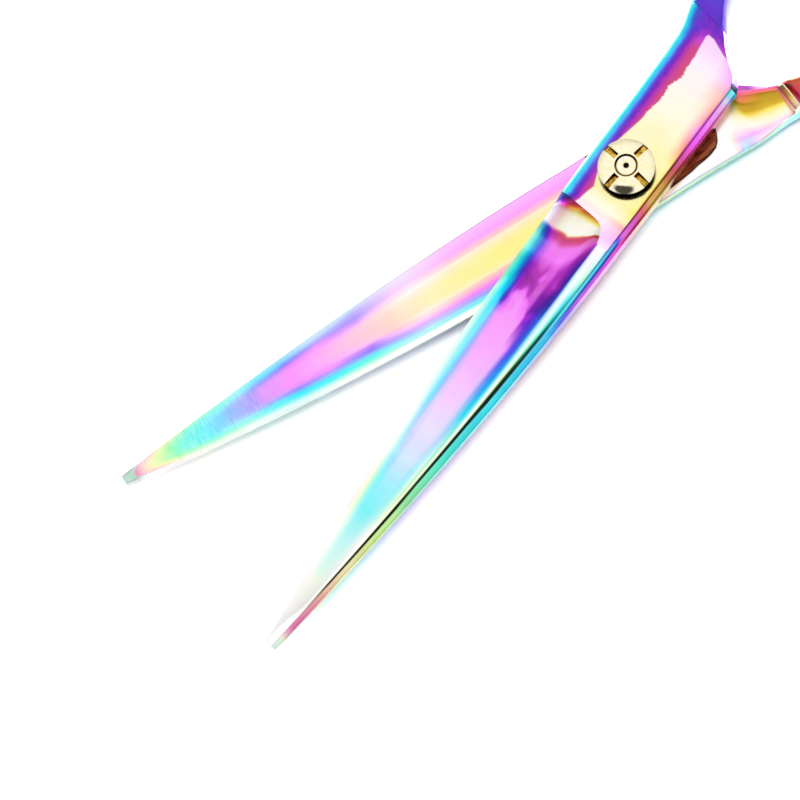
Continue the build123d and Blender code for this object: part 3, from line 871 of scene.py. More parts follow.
def strip_material():
    """The flat line between hollow grind and spine facet, with a painted dark band of shade and dark
    reflection along the facet.
    """
    g, plan, u, k = coated("coated_strip")
    along = [
        (6, 0.345, 0.88), (10, 0.345, 0.92), (14, 0.62, 0.92), (18, 0.62, 0.85), (23, 0.68, 0.84),
        (29, 0.75, 0.84), (36, 0.85, 0.92), (44, 0.86, 0.84), (48, 0.88, 0.66), (52, 0.88, 0.82),
        (56, 0.9, 0.93), (72, 0.9, 0.94),
    ]
    root = [
        (1, 0.08, -0.6, 0.3), (1.07, 0.08, -0.4, 0.2), (1.14, 0), (1.6, 0), (1.72, 0.25),
        (1.85, 0.26, -0.15), (1.95, 0.24, -0.4), (2, 0.24, -0.6, 0.35),
    ]
    blue = [
        (1, -0.1, -0.8, 0.3), (1.07, -0.1, -0.65, 0.2), (1.2, 0, -0.25), (1.35, 0, 0.05), (1.5, 0),
        (1.65, 0.02, -0.42), (1.8, 0.02, -0.7, 0.02), (1.95, 0.05, -0.85, 0.25), (2, 0.05, -0.85, 0.2),
    ]
    teal = [
        (1, -0.13, -0.8, 0.25), (1.07, -0.12, -0.7, 0.15), (1.2, -0.07, -0.45), (1.35, -0.05, -0.25),
        (1.5, 0), (1.65, 0.02, -0.4), (1.77, 0.05, -0.7, 0.1), (1.88, 0.05, -0.85, 0.8),
        (2, 0, -0.85, 0.95),
    ]
    # painted shade and dark reflection: a near-black band along the facet's side of the strip
    painted_dark_band = [
        (1, -0.18, -0.82, 0.2), (1.1, -0.17, -0.78, 0.15), (1.24, -0.13, -0.58, 0.03), (1.38, -0.05, -0.12),
        (1.5, 0), (1.64, 0.1, -0.3, 0.05), (1.73, 0.1, -0.7, 0.6), (1.8, 0, -0.8, 0.97), (2, 0, -0.8, 0.97),
    ]
    widest = [
        (1, -0.19, -0.87, 0.1), (1.1, -0.19, -0.84, 0.12), (1.25, -0.18, -0.7, 0.12), (1.38, -0.1, -0.22),
        (1.5, 0), (1.62, 0, -0.2, 0.12), (1.7, 0, -0.5, 0.7), (1.76, 0, -0.9, 1), (2, 0, -0.9, 1),
    ]
    green = [
        (1, -0.08, -0.15), (1.2, -0.08, -0.38, 0.12), (1.36, -0.03, -0.25, 0.08), (1.52, 0),
        (1.65, 0, -0.3, 0.35), (1.72, 0, -0.5, 0.9), (1.77, 0, -0.9, 1), (2, 0, -0.9, 1),
    ]
    late = [(1, 0), (1.55, 0), (1.68, 0, -0.1, 0.2), (1.76, 0, -0.5, 1), (2, 0, -0.8, 1)]
    ending = [(1, 0), (1.55, 0), (1.75, 0, -0.4, 0.8), (2, 0, -0.6, 1)]
    end = [(1, 0), (2, 0, 0, 0.05)]
    sets = [
        (11.0, root), (17.0, blue), (22.5, teal), (28.0, painted_dark_band), (36.0, widest), (45.0, green),
        (55.0, late), (62.0, ending), (67.0, end),
    ]
    colour = film(g, u, along, k, sets, ripple_of(g, plan, 60.0, 0.01))
    return polish(g, colour, plan, 0.15)


def block_material():
    g = Graph("coated_block")
    plan, u, v = g.place("plan")
    v = g.math("MULTIPLY", v, 100.0)
    drift = [
        (-22.4, 0.03, 0, 0.05), (-21, 0, 0, 0.05), (-19.5, -0.02, 0, 0.03), (-16.5, -0.05), (-14, -0.02),
        (-8, 0), (-3, -0.01, 0.02), (1.5, -0.04, 0.05), (4, -0.02), (7, 0.03), (9, 0.05, 0.1),
    ]
    front = [
        (-5.6, 0.7, 0.4), (-5.15, 0.67, 0.45), (-4.9, 0.67, 0.04, 0.1), (-4.5, 0.615, 0.04),
        (-4.15, 0.54, 0.08, 0.1), (-3.8, 0.455, 0.03, 0.35), (-3.4, 0.4, 0.01, 0.55),
        (-2.9, 0.32, 0.02, 0.5), (-2.5, 0.27, 0.05, 0.38), (-1.2, 0.25, 0.08, 0.35),
    ]
    rear = [
        (-5.6, 0.66, 0.4), (-5.15, 0.64, 0.1), (-4.8, 0.61, 0.03, 0.05), (-4.4, 0.55, 0.02, 0.25),
        (-4, 0.485, 0.03, 0.35), (-3.3, 0.445, 0.03, 0.35), (-2, 0.425, 0.02, 0.4), (0, 0.425, 0.02, 0.4),
        (2, 0.445, 0.02, 0.4), (3.4, 0.47, 0, 0.6),
    ]
    side = film(g, u, drift, v, [(-20.3, rear), (-17.0, front)], ripple_of(g, plan, 90.0, 0.02))
    top_along = [
        (-20, 0.345, 0.6), (-18, 0.345, 0.69), (-16, 0.345, 0.85), (-14, 0.2, 0.9), (-11.5, 0.08, 0.8),
        (-9, 0.06, 0.72), (-6.5, 0.05, 0.55), (-4, 0.045, 0.44), (0, 0.05, 0.36), (4, 0.05, 0.38),
        (5.5, 0.03, 0.74), (6.8, 0.3, 0.86), (8.4, 0.345, 0.68), (10, 0.345, 0.88),
    ]
    pinker = [
        (-3, 0, 0.05), (2.4, 0), (3, 0.1, -0.05), (3.4, 0.2, -0.15), (3.9, 0.26, -0.4),
        (4.12, 0.3, -0.6, 0.35), (4.3, 0.3, -0.6, 0.35),
    ]
    plain_rim = [
        (-3, 0, 0.05), (2.6, 0), (3.4, 0, -0.08), (3.9, 0, -0.2), (4.12, 0.04, -0.35, 0.55),
        (4.3, 0.04, -0.35, 0.55),
    ]
    none = [(-3, 0), (4.3, 0)]
    rear_rim = [
        (-3, 0), (1.4, 0), (2.2, 0, -0.14), (3, 0, -0.28), (3.8, 0, -0.42), (4.12, 0, -0.5, 0.1),
        (4.3, 0.05, -0.5, 0.4),
    ]
    sets = [
        (-13.6, rear_rim), (-9.0, pinker), (-3.0, plain_rim), (3.0, plain_rim), (6.4, rear_rim),
        (10.0, none),
    ]
    top = film(g, u, top_along, v, sets, ripple_of(g, plan, 40.0, 0.02))
    ragged = g.noise(g.vector("MULTIPLY", plan, (60.0, 26.0, 1.0)), 1.0, 4.0, 0.7)
    worn = g.math("MULTIPLY", g.span(u, -6.0, -9.0), g.span(u, -17.0, -13.0))
    broken = g.math("MULTIPLY", g.span(ragged, 0.3, 0.7, -0.4, 0.4), worn)
    border = g.ramp(u, levels([
        (-19.8, 0.64), (-18.0, 0.63), (-16.5, 0.66), (-14.0, 0.66), (-12.0, 0.6), (-6.0, 0.5), (-3.0, 0.38),
        (0.0, 0.3), (2.5, 0.44), (4.0, 0.56), (5.0, 0.5), (6.0, 0.46), (7.2, 0.44), (9.0, 0.3),
    ]))
    border = g.span(border, 0.0, 1.0, -5.0, 0.0)
    inside = g.span(g.math("ADD", g.math("SUBTRACT", v, border), broken), -0.08, 0.14)
    back = g.ramp(v, levels([(-2.2, 0.5), (-1.5, 0.12), (-0.6, 0.15), (0.3, 0.38), (1.2, 0.6), (2.2, 0.75)]))
    back = g.span(back, 0.0, 1.0, -20.0, -17.8)
    inside = g.math("MULTIPLY", inside, g.span(g.math("SUBTRACT", u, back), -0.05, 0.15))
    colour = g.mix(inside, side, top)
    return polish(g, colour, plan, 0.15)


def facet_material():
    g, plan, u, k = coated("coated_spine_facet")
    along = [
        (-16.4, 0), (-16, 0.64, 0.2), (-14.8, 0.64, 0.25), (-14.1, 0.5, 0.85), (-13.2, 0.345, 0.5),
        (-10, 0.345, 0.18), (-7.5, 0.345, 0.06, 0.03), (-5.5, 0.3, 0.06, 0.3), (-3.5, 0.24, 0.1, 0.4),
        (-1, 0.12, 0.1, 0.35), (1.5, 0.12, 0.15, 0.28), (3.5, 0.25, 0.15, 0.25), (5, 0.32, 0.1, 0.3),
        (7, 0.335, 0.15, 0.2), (8.5, 0.46, 0.06, 0.15), (12, 0.51, 0.06, 0.12), (16, 0.53, 0.1, 0.1),
        (22, 0.6, 0.06, 0.03), (28, 0.62, 0.04, 0.06), (36, 0.65, 0.05, 0.05), (41, 0.69, 0.07, 0.08),
        (47, 0.78, 0.17, 0.08), (52, 0.85, 0.18, 0.08), (56, 0.89, 0.2, 0.05), (59, 0.92, 0.42),
        (62, 0.955, 0.3), (65, 1, 0.15, 0.05), (68.5, 1.03, 0.08, 0.1), (69.8, 1.03, 0.5, 0.05),
        (70.8, 0.8, 0.75, 0.05), (72, 0.75, 0.75, 0.08),
    ]
    strips = [
        (2, 0.42, 0.02, 0.7), (2.05, 0.42, 0.75), (2.2, 0.4, 0.8), (2.28, 0.345, 0.4, 0.05),
        (2.4, 0.345, 0.22), (3, 0.345, 0.25),
    ]
    seat = [
        (2, 0.03, -0.4, 0.6), (2.14, 0.03, -0.4, 0.45), (2.22, 0, 0, -0.08), (2.66, 0, 0.03, -0.08),
        (2.76, -0.02, -0.2, 0.35), (2.9, -0.06, -0.4, 0.4), (3, -0.06, 0, 0.1),
    ]
    root = [
        (2, 0.03, 0, 0.5), (2.08, 0.05, 0, 0.35), (2.15, 0.12, 0.05, -0.15), (2.36, 0.12, 0, -0.15),
        (2.44, 0, -0.05, 0.4), (2.58, -0.02, -0.05, 0.35), (2.68, -0.12, 0.06), (2.9, -0.15, 0.03, -0.05),
        (3, -0.15, 0, 0.15),
    ]
    shaded = [
        (2, 0, -0.1, 1), (2.08, 0, -0.1, 0.95), (2.18, 0, 0.1, 0.35), (2.28, 0, 0.1, -0.1), (2.45, 0),
        (2.8, 0, 0, 0.05), (2.9, 0, -0.05, 0.2), (3, -0.01, -0.05, 0.4),
    ]
    lined = [
        (2, 0, -0.1, 0.5), (2.06, 0, -0.1, 0.35), (2.14, 0, 0.1, -0.05), (2.3, 0, 0.06, -0.05), (2.45, 0),
        (2.8, 0, 0, 0.05), (2.9, 0, -0.05, 0.2), (3, -0.01, -0.05, 0.45),
    ]
    thin = [
        (2, 0, -0.1, 1), (2.1, 0, -0.1, 1), (2.2, 0, 0.05, 0.1), (2.45, 0, 0.08, -0.05), (2.7, 0, 0, 0.05),
        (2.9, 0, -0.05, 0.15), (3, -0.01, -0.05, 0.3),
    ]
    unlined = [(2, 0, 0.1, 0.1), (2.3, 0, 0.1), (2.7, 0), (3, 0, -0.1, 0.2)]
    sets = [
        (-16.4, strips), (-16.0, seat), (6.5, seat), (8.5, root), (17.5, root), (22.5, shaded),
        (33.0, shaded), (37.0, lined), (46.0, lined), (50.0, thin), (62.0, thin), (66.0, unlined),
    ]
    colour = film(g, u, along, k, sets, ripple_of(g, plan, 60.0, 0.012))
    return polish(g, colour, plan, 0.16)


def wall_material():
    g, plan, u, k = coated("coated_side_wall")
    along = [
        (-24, 0.345, 0.3), (-20, 0.345, 0.33), (-17.5, 0.5, 0.5), (-16, 0.66, 0.15, 0.1),
        (-15, 0.76, 0.05, 0.35), (-14, 0.14, 0.02, 0.25), (-12.5, 0.2, 0.03, 0.25), (-10, 0.27, 0.02, 0.4),
        (-6, 0.25, 0.03, 0.4), (-4, 0.13, 0.4, 0.05), (0, 0.12, 0.35), (4, 0.14, 0.35), (8, 0.33, 0.3),
        (14, 0.345, 0.25), (19, 0.45, 0.2), (24, 0.56, 0.1, 0.05), (40, 0.66, 0.08, 0.2),
        (48, 0.78, 0.08, 0.3), (56, 0.88, 0.1, 0.25), (61, 0.93, 0.2, 0.15), (66, 1.02, 0.08, 0.25),
        (70, 1.1, 0.1, 0.45), (71, 0.78, 0.5, 0.15), (72, 0.75, 0.6, 0.1),
    ]
    bands = [(3, 0, -0.1, 0.4), (3.3, 0.02, 0, 0.2), (3.8, 0, 0, 0.15), (4, 0, 0, 0.35)]
    colour = film(g, u, along, k, [(0.0, bands)], ripple_of(g, plan, 60.0, 0.02))
    return polish(g, colour, plan, 0.2)


def inner_material():
    g, plan, u, k = coated("coated_inner_face")
    along = [
        (-22.8, 0.17, 0, 0.3), (-22.3, 0.05, 0.6), (-21.5, 0.05, 0.6), (-21.25, 0.25, 0, 0.35), (-21.05, 0),
        (-2, 0), (2, 0.05, 0.18), (18, 0.05, 0.22), (24, 0.05, 0.3), (28, 0.06, 0.46), (32, 0.1, 0.58),
        (36, 0.22, 0.62), (40, 0.3, 0.52), (44, 0.34, 0.4), (48, 0.345, 0.26), (52, 0.385, 0.3),
        (55, 0.5, 0.36), (58, 0.6, 0.2), (61, 0.66, 0.13), (63, 0.69, 0.18), (65, 0.78, 0.16),
        (67, 0.87, 0.3), (68.9, 0.95, 0.5), (69.5, 0.98, 0.35), (70.1, 1.03, 0.2, 0.12),
        (70.6, 1.1, 0.2, 0.12), (71.3, 1.09, 0.25, 0.1), (72, 1.12, 0.45, 0.1),
    ]
    ramp_up = [(4, 0.05), (4.3, 0), (4.9, 0, 0.1), (5, 0.1, 0, 0.2)]
    neck = [
        (4, 0.3, 0.15), (4.08, 0.27, 0.15), (4.16, 0.19, 0.1, 0.05), (4.19, 0.12, 0, 0.6),
        (4.24, 0.1, 0, 0.48), (4.4, 0.095, 0, 0.4), (4.5, 0.085, 0, 0.3), (4.56, 0.06, 0.05),
        (4.64, 0.05, 0.35), (4.74, 0.04, 0.6), (4.82, 0.1, 0.85), (4.88, 0.33, 0.7), (4.94, 0.34, 0.75),
        (4.975, 0.3, 0.8), (4.99, 0.05, 0.1, 0.5), (5, 0.05, 0.1, 0.5),
    ]
    throat = [
        (4, 0.3, 0.1), (4.12, 0.27, 0.15), (4.3, 0.19, 0.1), (4.36, 0.12, 0, 0.6), (4.42, 0.1, 0, 0.45),
        (4.5, 0.1, 0, 0.38), (4.57, 0.07, 0.05, 0.1), (4.62, 0.05, 0.35), (4.7, 0.05, 0.8),
        (4.76, 0.1, 0.9), (4.82, 0.34, 0.7), (4.87, 0.345, 0.42), (4.92, 0.35, 0.65), (4.97, 0.345, 0.8),
        (5, 0.3, 0.5, 0.2),
    ]
    blush = [
        (4, 0, 0.9), (4.6, 0, 0.9), (4.7, 0.1, 0.92), (4.78, 0.345, 0.75), (4.84, 0.345, 0.5),
        (4.9, 0.5, 0.75), (4.95, 0.62, 0.6), (5, 0.62, 0.4, 0.1),
    ]
    bare = [(4, 0, 0.97), (4.97, 0, 0.97), (5, 0.8, 0.4, 0.2)]
    near = [
        (4, 0.3, 0.1, 0.3), (4.04, 0.3, 0.3, 0.03), (4.1, 0.295, 0.22), (4.19, 0.29, 0.12),
        (4.25, 0.22, 0.3), (4.3, 0.04, 0.42), (4.37, 0.01, 0.14), (4.45, 0), (4.58, 0), (4.64, 0.02, 0.25),
        (4.69, 0.2, 0.25), (4.76, 0.295, -0.1), (4.8, 0.38, 0.05), (4.85, 0.54), (4.89, 0.6, -0.15),
        (4.925, 0.8, 0.65), (4.985, 0.8, 0.65), (5, 0.8, 0.4, 0.15),
    ]
    mid = [
        (4, 0.4, 0.05, 0.3), (4.05, 0.3, 0.1, 0.03), (4.12, 0.2, -0.18), (4.2, 0.19, -0.3),
        (4.27, 0.14, -0.2), (4.34, 0.02, 0.02), (4.5, 0), (4.6, 0.05, -0.02), (4.66, 0.17, -0.35),
        (4.72, 0.19, -0.42), (4.77, 0.3, -0.3), (4.82, 0.43, -0.5), (4.87, 0.46, -0.3), (4.91, 0.5, 0.1),
        (4.93, 0.6, 0.36), (4.985, 0.6, 0.36), (5, 0.6, 0.2, 0.15),
    ]
    far = [
        (4, 0.3, 0.1, 0.3), (4.05, 0.26, 0.25), (4.11, 0.22, 0.15), (4.17, 0.1, -0.08), (4.22, 0.02, -0.14),
        (4.32, 0, -0.05), (4.45, 0), (4.55, 0, -0.03), (4.63, 0, -0.14), (4.68, 0.03, -0.12),
        (4.73, 0.18, -0.05), (4.78, 0.29, -0.3), (4.83, 0.32, -0.35), (4.87, 0.34, -0.1),
        (4.91, 0.38, 0.25), (4.94, 0.4, 0.55), (5, 0.4, 0.45, 0.05),
    ]
    further = [
        (4, 0.28, 0.1, 0.2), (4.06, 0.26), (4.12, 0.25, -0.16), (4.17, 0.2, -0.1), (4.23, 0.07), (4.31, 0),
        (4.56, 0), (4.63, 0.05, 0.1), (4.68, 0.16, 0.03), (4.73, 0.26, -0.15), (4.79, 0.29, -0.18),
        (4.85, 0.3, 0.1), (4.9, 0.3, 0.5), (5, 0.3, 0.5, 0.05),
    ]
    late = [
        (4, 0.1, 0.3, 0.1), (4.05, 0.08, 0.15), (4.15, 0.03, 0.08), (4.35, 0), (4.65, 0), (4.78, 0.06, 0.1),
        (4.85, 0.12, 0.3), (4.9, 0.14, 0.55), (4.94, 0.2, 0.75), (5, 0.2, 0.6, 0.05),
    ]
    sets = [
        (-21.4, ramp_up), (-20.9, neck), (-19.0, neck), (-16.0, throat), (-14.0, blush), (-12.6, bare),
        (-2.0, bare), (2.0, near), (30.0, near), (37.5, mid), (43.5, far), (51.0, further), (60.0, late),
    ]
    colour = film(g, u, along, k, sets, ripple_of(g, plan, 50.0, 0.01))
    # the oil recess round the pivot: a brown, lapped floor with painted shade darkening it to near black
    # towards its border, which ends in a long curve behind it
    v = g.math("MULTIPLY", g.place("plan")[2], 100.0)
    border = g.ramp(u, levels([
        (-13.6, 1.0), (-12.4, 1.0), (-12.25, 0.85), (-12.0, 0.68), (-11.6, 0.5), (-11.0, 0.37), (-10.0, 0.28),
        (-9.0, 0.23), (-8.0, 0.2), (-7.0, 0.15), (-4.0, 0.08), (0.0, 0.08), (3.0, 0.1), (3.6, 1.0),
    ]))
    border = g.span(border, 0.0, 1.0, -5.0, -0.4)
    depth = g.math("SUBTRACT", v, border)
    inside = g.math("MULTIPLY", g.span(depth, -0.04, 0.1), g.span(u, -12.45, -12.35))
    inside = g.math("MULTIPLY", inside, g.span(u, 3.3, 3.1))
    lapped = g.noise(g.vector("MULTIPLY", plan, (40.0, 420.0, 1.0)), 1.0, 2.0)
    floor_colour = g.mix(g.span(lapped, 0.35, 0.65), linear("5a1410"), linear("a0603c"))
    # painted shade: the floor turns near black towards the recess's border
    floor_colour = g.mix(g.span(depth, 0.45, 0.1), floor_colour, linear("2a0806"))
    colour = g.mix(inside, colour, floor_colour)
    strokes = g.noise(g.vector("MULTIPLY", plan, (900.0, 40.0, 1.0)), 1.0, 2.0, 0.6)
    reach = g.span(u, 44.0, 62.0)
    pale = g.math("MULTIPLY", g.span(strokes, 0.4, 0.7, -0.1, 0.35), reach, clamp=True)
    colour = g.mix(pale, colour, (1, 1, 1, 1))
    dull = g.math("MULTIPLY", g.span(strokes, 0.45, 0.3, 0.0, 0.3), reach, clamp=True)
    colour = g.mix(dull, colour, (0.25, 0.45, 0.4, 1))
    return polish(g, colour, plan, 0.2)


def edge_band_material():
    """The narrow wall under the cutting side of the block, neck and blade."""
    g, plan, u, k = coated("coated_edge_band")
    along = [
        (-24, 0.74, 0.3, 0.15), (-21, 0.8, 0.3, 0.2), (-16, 0.74, 0.55, 0.35), (-12, 0.78, 0.45, 0.35),
        (-8, 0.84, 0.45, 0.3), (-3, 0.86, 0.45, 0.2), (4, 0.9, 0.4, 0.1), (9, 0.85, 0.5, 0.05),
    ]
    bands = [(-1, 0, 0, 0.45), (-0.85, 0), (-0.4, 0, -0.1, 0.15), (0, 0)]
    colour = film(g, u, along, k, [(0.0, bands)], ripple_of(g, plan, 60.0, 0.02))
    return polish(g, colour, plan, 0.2)


# How the coating starts at each weld, and how it runs round each section there; their whiteness is painted
# highlight and their darkness painted shade.
VIOLET_START = [(-29, 0.52, 0.03, 0.15), (-25, 0.455, 0.03, 0.3), (-22, 0.44, 0.02, 0.4)]
BRONZE_START = [(-29, 0.7, 0, 0.45), (-25.5, 0.66, 0, 0.6), (-23.8, 0.17, 0, 0.35), (-22, 0.2, 0, 0.4)]
CYAN_EDGE = [
    (-1, 0.22, 0.3, -0.3), (0, 0.21, 0.1, -0.3), (0.12, 0.19, 0.02, -0.3), (0.28, 0.1, 0, -0.15),
    (0.45, 0.03), (0.7, 0), (1.9, 0.01, 0, 0.05), (2.6, 0.03, 0, 0.1), (3.2, 0, 0.3, -0.3), (4.2, 0),
    (5, 0.1, 0.1),
]
AROUND_HANDLE = [
    (-1, 0.2, 0.3, -0.3), (0, 0.2, 0.1, -0.3), (0.1, 0.12, 0, -0.2), (0.3, 0.03), (1.96, 0.02, 0, 0.05),
    (2.03, 0, 0.75, -0.3), (2.2, 0, 0.75, -0.3), (2.3, -0.08, 0.22, -0.4), (3, -0.08, 0.22, -0.4),
    (3.6, -0.05, 0.1, -0.2), (4.2, 0), (5, 0.1, 0.1),
]


def handle_material(name, start, neck):
    """The coating runs through all its colours from the neck, where start has it, to the ring."""
    g, plan, u, k = coated(name)
    along = [
        (-84, 0.3, 0.05, 0.2), (-76, 0.5, 0.04, 0.15), (-68, 0.64, 0.05), (-60, 0.8, 0.1),
        (-54, 0.92, 0.25), (-48, 1.02, 0.1, 0.05), (-44, 0.95, 0.15), (-40, 0.84, 0.1),
        (-35, 0.7, 0.05, 0.05), *start,
    ]
    sets = [(-30.0, AROUND_HANDLE), (-24.5, neck)]
    colour = film(g, u, along, k, sets, ripple_of(g, plan, 12.0, 0.03))
    return polish(g, colour, plan, 0.16)


def radius_of(g, place):
    """Distance from the pivot axis."""
    x2, y2 = g.math("MULTIPLY", place[0], place[0]), g.math("MULTIPLY", place[1], place[1])
    return g.math("SQRT", g.math("ADD", x2, y2))


def dial_material():
    """Gold plate, almost white on the dome partly as painted highlight, with painted shade deeper in the
    slots and painted near-black shade round the wall.
    """
    g = Graph("gold_dial")
    scaled, place = g.object_mm()
    r = radius_of(g, place)
    # the dome falls from its middle to its rim: what lies well under it is a slot or a wall
    dome = g.ramp(r, levels([
        (0.0, 0.99), (1.43, 0.97), (2.0, 0.93), (2.75, 0.84), (3.2, 0.68), (3.5, 0.42),
    ]))
    sunk = g.math("SUBTRACT", g.span(dome, 0.0, 1.0, 6.97, 7.97), place[2])
    grain = g.noise(scaled, 2.2, 3.0)
    # the dome's near-white gold is partly the plate's colour and partly painted highlight
    tone = g.mix(g.span(grain, 0.3, 0.7), linear("fffbe4"), linear("fff0b4"))
    # painted shade: the slot floors turn darker gold to brown, as shade in the slots
    slot = g.mix(g.span(grain, 0.35, 0.65), linear("e8bc48"), linear("7a5218"))
    colour = g.mix(g.span(sunk, 0.08, 0.2), tone, slot)
    # painted shade: the side wall is painted near black for its shadow and dark reflection
    side = g.math("MULTIPLY", g.span(r, 3.3, 3.42), g.span(place[2], 7.42, 7.3))
    colour = g.mix(side, colour, linear("120c04"))
    # painted shade: the dimple in the middle of the dome is painted darker
    dimple_shade = g.math("MULTIPLY", g.span(r, 1.55, 1.44), g.span(sunk, 0.04, 0.12))
    colour = g.mix(dimple_shade, colour, linear("9a7428"))
    g.metal(colour, g.span(grain, 0.3, 0.7, 0.06, 0.13))
    g.bsdf.inputs["Specular Tint"].default_value = (0.1, 0.07, 0.02, 1.0)
    g.bump(g.noise(scaled, 24.0, 2.0), 0.05, 0.00002)
    return g.mat


def screw_material():
    g = Graph("gold_screw")
    scaled, place = g.object_mm()
    r = radius_of(g, place)
    grain = g.noise(scaled, 2.2, 3.0)
    tone = g.mix(g.span(grain, 0.3, 0.7), linear("fffbee"), linear("fdeeb4"))
    colour = g.mix(g.span(r, 1.1, 1.26), tone, linear("a88a34"))
    colour = g.mix(g.span(r, 0.42, 0.3), colour, linear("1c1206"))
    g.metal(colour, g.span(grain, 0.3, 0.7, 0.08, 0.15))
    g.bump(g.noise(scaled, 24.0, 2.0), 0.05, 0.00002)
    return g.mat


def plain_metal(name, dark, light, roughness):
    """Turned metal with fine rings about the pivot."""
    g = Graph(name)
    scaled, place = g.object_mm()
    rings = g.noise(radius_of(g, place), 14.0, 2.0)
    colour = g.mix(g.span(rings, 0.3, 0.7), linear(dark), linear(light))
    g.metal(colour, g.span(g.noise(scaled, 1.5), 0.3, 0.7, roughness - 0.05, roughness + 0.08))
    g.bump(rings, 0.1, 0.00002)
    return g.mat


def moulded(name, dark, light, roughness, grain):
    """Moulded rubber or plastic with a fine matt grain."""
    g = Graph(name)
    scaled, _ = g.object_mm()
    speckle = g.noise(scaled, grain, 3.0, 0.6)
    g.feed(g.bsdf.inputs["Base Color"], g.mix(g.span(speckle, 0.3, 0.7), linear(dark), linear(light)))
    g.feed(g.bsdf.inputs["Roughness"], g.span(speckle, 0.3, 0.7, roughness - 0.08, roughness + 0.08))
    g.bump(speckle, 0.2, 0.00003)
    return g.mat


def rest_material():
    """The finger rest's coating changes along the rod."""
    g = Graph("coated_rest")
    scaled, place = g.object_mm()
    sweep = g.math("ADD", place[1], g.math("MULTIPLY", place[0], 0.3))
    along = [
        (-100, 0.9, 0.2), (-95, 0.78, 0.15), (-91, 0.64, 0.1), (-87, 0.5, 0.05), (-84, 0.4, 0.05),
        (-80, 0.3, 0.1),
    ]
    heights = [(0, 0.1, 0.1), (3, 0), (5, -0.08, 0.1)]
    colour = film(g, sweep, along, place[2], [(0.0, heights)])
    g.metal(colour, g.span(g.noise(scaled, 0.6), 0.3, 0.7, 0.12, 0.2))
    g.bump(g.noise(scaled, 20.0, 2.0), 0.04, 0.00002)
    return g.mat


blade_materials = [
    hollow_material(), strip_material(), block_material(), facet_material(), wall_material(),
    inner_material(), edge_band_material(),
]
thumb_coat = handle_material("coated_thumb_handle", VIOLET_START, CYAN_EDGE)
finger_coat = handle_material("coated_finger_handle", BRONZE_START, AROUND_HANDLE)
for obj, body, node, slot, handle_end in (
    (thumb_blade, "thumb_side", "thumb_blade", "thumb_blade_rainbow", thumb_coat),
    (finger_blade, "finger_side", "finger_blade", "finger_blade_rainbow", finger_coat),
    (thumb_handle, "thumb_side", "thumb_handle", "thumb_handle_rainbow", thumb_coat),
    (finger_handle, "finger_side", "finger_handle", "finger_handle_rainbow", finger_coat),
):
    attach(obj, body)
    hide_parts(node)
    indices = [poly.material_index for poly in obj.data.polygons]
    obj.data.materials.clear()
    for material in (*blade_materials, handle_end):
        obj.data.materials.append(material)
    for poly, index in zip(obj.data.polygons, indices):
        poly.material_index = index

node_materials = {
    "tension_dial": dial_material(),
    "lock_screw": screw_material(),
    "pivot_stud": plain_metal("gold_stud", "c89a3c", "e8c878", 0.18),
    "pivot_bush": plain_metal("bronze_bush", "7a5526", "a67c3c", 0.3),
    "spring_washer": plain_metal("steel_washer", "8d9094", "b8bbbf", 0.25),
    "click_plate": plain_metal("steel_click", "a9acb0", "d2d4d8", 0.2),
    "glide_ring": moulded("glide_plastic", "d8d4c6", "efece2", 0.4, 3.0),
    "finger_ring_insert": moulded("insert_rubber", "131315", "242428", 0.55, 6.0),
    "thumb_ring_insert": moulded("insert_rubber_thumb", "131315", "242428", 0.55, 6.0),
    "bumper": moulded("bumper_rubber", "101012", "202024", 0.6, 6.0),
    "finger_rest": rest_material(),
}
for name, material in node_materials.items():
    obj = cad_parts[name]
    obj.data.materials.clear()
    obj.data.materials.append(material)

# ------------------------------------------------------------------ camera, light, floor
# The camera stands above the dial side and leans a little.  The picture's up is turned about Z
# so that the tips point to the lower left.
PICTURE_TURN = -131.59
TILT, TILT_FROM = 14.0, -62.0 # lean from straight above, and the side it leans to
AIM = (-28.43, -26.60, 0.0)   # from the pivot, before the turn
DISTANCE = 380.0
LENS, SENSOR = 139.57, 36.0
LIGHT_POWER, LIGHT_BEARING = 16.0, -12.0
WORLD_STRENGTH = 1.03
PATCH_BEARING, PATCH_LEAN = 126.0, 40.0     # direction of the dark patch in the bright surround
PATCH_INNER, PATCH_OUTER, PATCH_LEVEL = 17.0, 25.0, 0.06


def camera():
    tilt, lean = math.radians(TILT), math.radians(TILT_FROM)
    back = Vector((math.cos(lean) * math.sin(tilt), math.sin(lean) * math.sin(tilt), math.cos(tilt)))
    up = Vector((0, 1, 0))
    up = (up - up.dot(back) * back).normalized()
    right = up.cross(back)
    spin = Matrix.Rotation(math.radians(PICTURE_TURN), 3, "Z")
    aim = spin @ Vector(AIM)
    back, up, right = spin @ back, spin @ up, spin @ right
    cam = bpy.data.cameras.new("camera")
    cam.lens, cam.sensor_width = LENS, SENSOR
    cam.clip_start, cam.clip_end = 0.01, 20.0
    obj = bpy.data.objects.new("camera", cam)
    matrix = Matrix((right, up, back)).transposed().to_4x4()
    matrix.translation = (aim + back * DISTANCE) * MM
    obj.matrix_world = matrix
    bpy.context.collection.objects.link(obj)
    bpy.context.scene.camera = obj


camera()


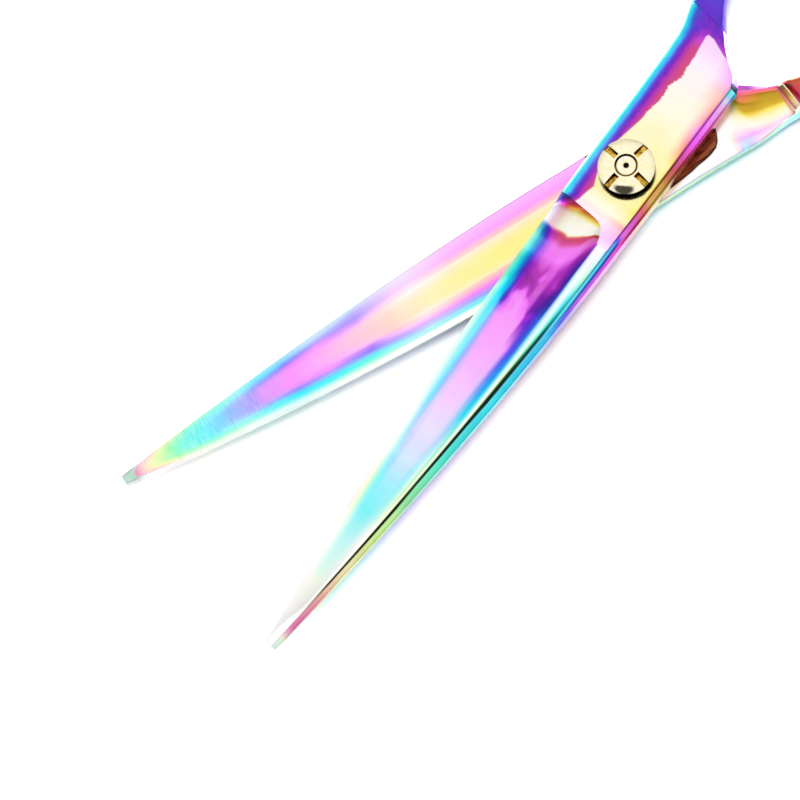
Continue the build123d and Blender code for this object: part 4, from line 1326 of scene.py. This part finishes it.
def floor_and_light():
    floor = make_object("floor", [(-6, -6, 0), (6, -6, 0), (6, 6, 0), (-6, 6, 0)], [(0, 1, 2, 3)])
    g = Graph("paper_floor")
    scaled, _ = g.object_mm()
    shade = g.mix(g.noise(scaled, 0.4), (0.88, 0.88, 0.88, 1), (0.9, 0.9, 0.9, 1))
    g.feed(g.bsdf.inputs["Base Color"], shade)
    g.bsdf.inputs["Roughness"].default_value = 0.9
    floor.data.materials.append(g.mat)

    # one large soft source, to the picture's upper left: the shadow falls to the lower right
    light = bpy.data.lights.new("softbox", "AREA")
    light.shape = "DISK"
    light.size = 0.9
    light.energy = LIGHT_POWER
    obj = bpy.data.objects.new("softbox", light)
    bearing = math.radians(LIGHT_BEARING)
    place = Vector((math.cos(bearing) * 0.25, math.sin(bearing) * 0.25, 0.7))
    obj.location = place
    obj.rotation_euler = (-place).to_track_quat("-Z", "Y").to_euler()
    obj.visible_glossy = False
    bpy.context.collection.objects.link(obj)


def studio_world():
    """Bright overhead, a little darker round the horizon, with one soft dark patch."""
    world = bpy.data.worlds.new("studio")
    bpy.context.scene.world = world
    world.use_nodes = True
    tree = world.node_tree
    tree.nodes.clear()
    coord = tree.nodes.new("ShaderNodeTexCoord")
    split = tree.nodes.new("ShaderNodeSeparateXYZ")
    tree.links.new(coord.outputs["Generated"], split.inputs[0])
    height = tree.nodes.new("ShaderNodeValToRGB")
    stops = [(0.0, 0.7), (0.15, 0.76), (0.4, 0.9), (0.65, 0.98), (1.0, 1.0)]
    for place, _ in stops[1:-1]:
        height.color_ramp.elements.new(place)
    for element, (_, level) in zip(height.color_ramp.elements, stops):
        element.color = (level, level, level, 1)
    tree.links.new(split.outputs[2], height.inputs[0])
    dot = tree.nodes.new("ShaderNodeVectorMath")
    dot.operation = "DOT_PRODUCT"
    tree.links.new(coord.outputs["Generated"], dot.inputs[0])
    bearing, lean = math.radians(PATCH_BEARING), math.radians(PATCH_LEAN)
    dot.inputs[1].default_value = (
        math.cos(bearing) * math.sin(lean), math.sin(bearing) * math.sin(lean), math.cos(lean)
    )
    patch = tree.nodes.new("ShaderNodeMapRange")
    patch.interpolation_type = "SMOOTHSTEP"
    patch.inputs["From Min"].default_value = math.cos(math.radians(PATCH_OUTER))
    patch.inputs["From Max"].default_value = math.cos(math.radians(PATCH_INNER))
    patch.inputs["To Min"].default_value = 1.0
    patch.inputs["To Max"].default_value = PATCH_LEVEL
    tree.links.new(dot.outputs["Value"], patch.inputs["Value"])
    multiply = tree.nodes.new("ShaderNodeMath")
    multiply.operation = "MULTIPLY"
    tree.links.new(height.outputs[0], multiply.inputs[0])
    tree.links.new(patch.outputs[0], multiply.inputs[1])
    background = tree.nodes.new("ShaderNodeBackground")
    background.inputs[1].default_value = WORLD_STRENGTH
    tree.links.new(multiply.outputs[0], background.inputs[0])
    out = tree.nodes.new("ShaderNodeOutputWorld")
    tree.links.new(background.outputs[0], out.inputs[0])


floor_and_light()
studio_world()
bpy.context.scene.view_settings.view_transform = "Standard"
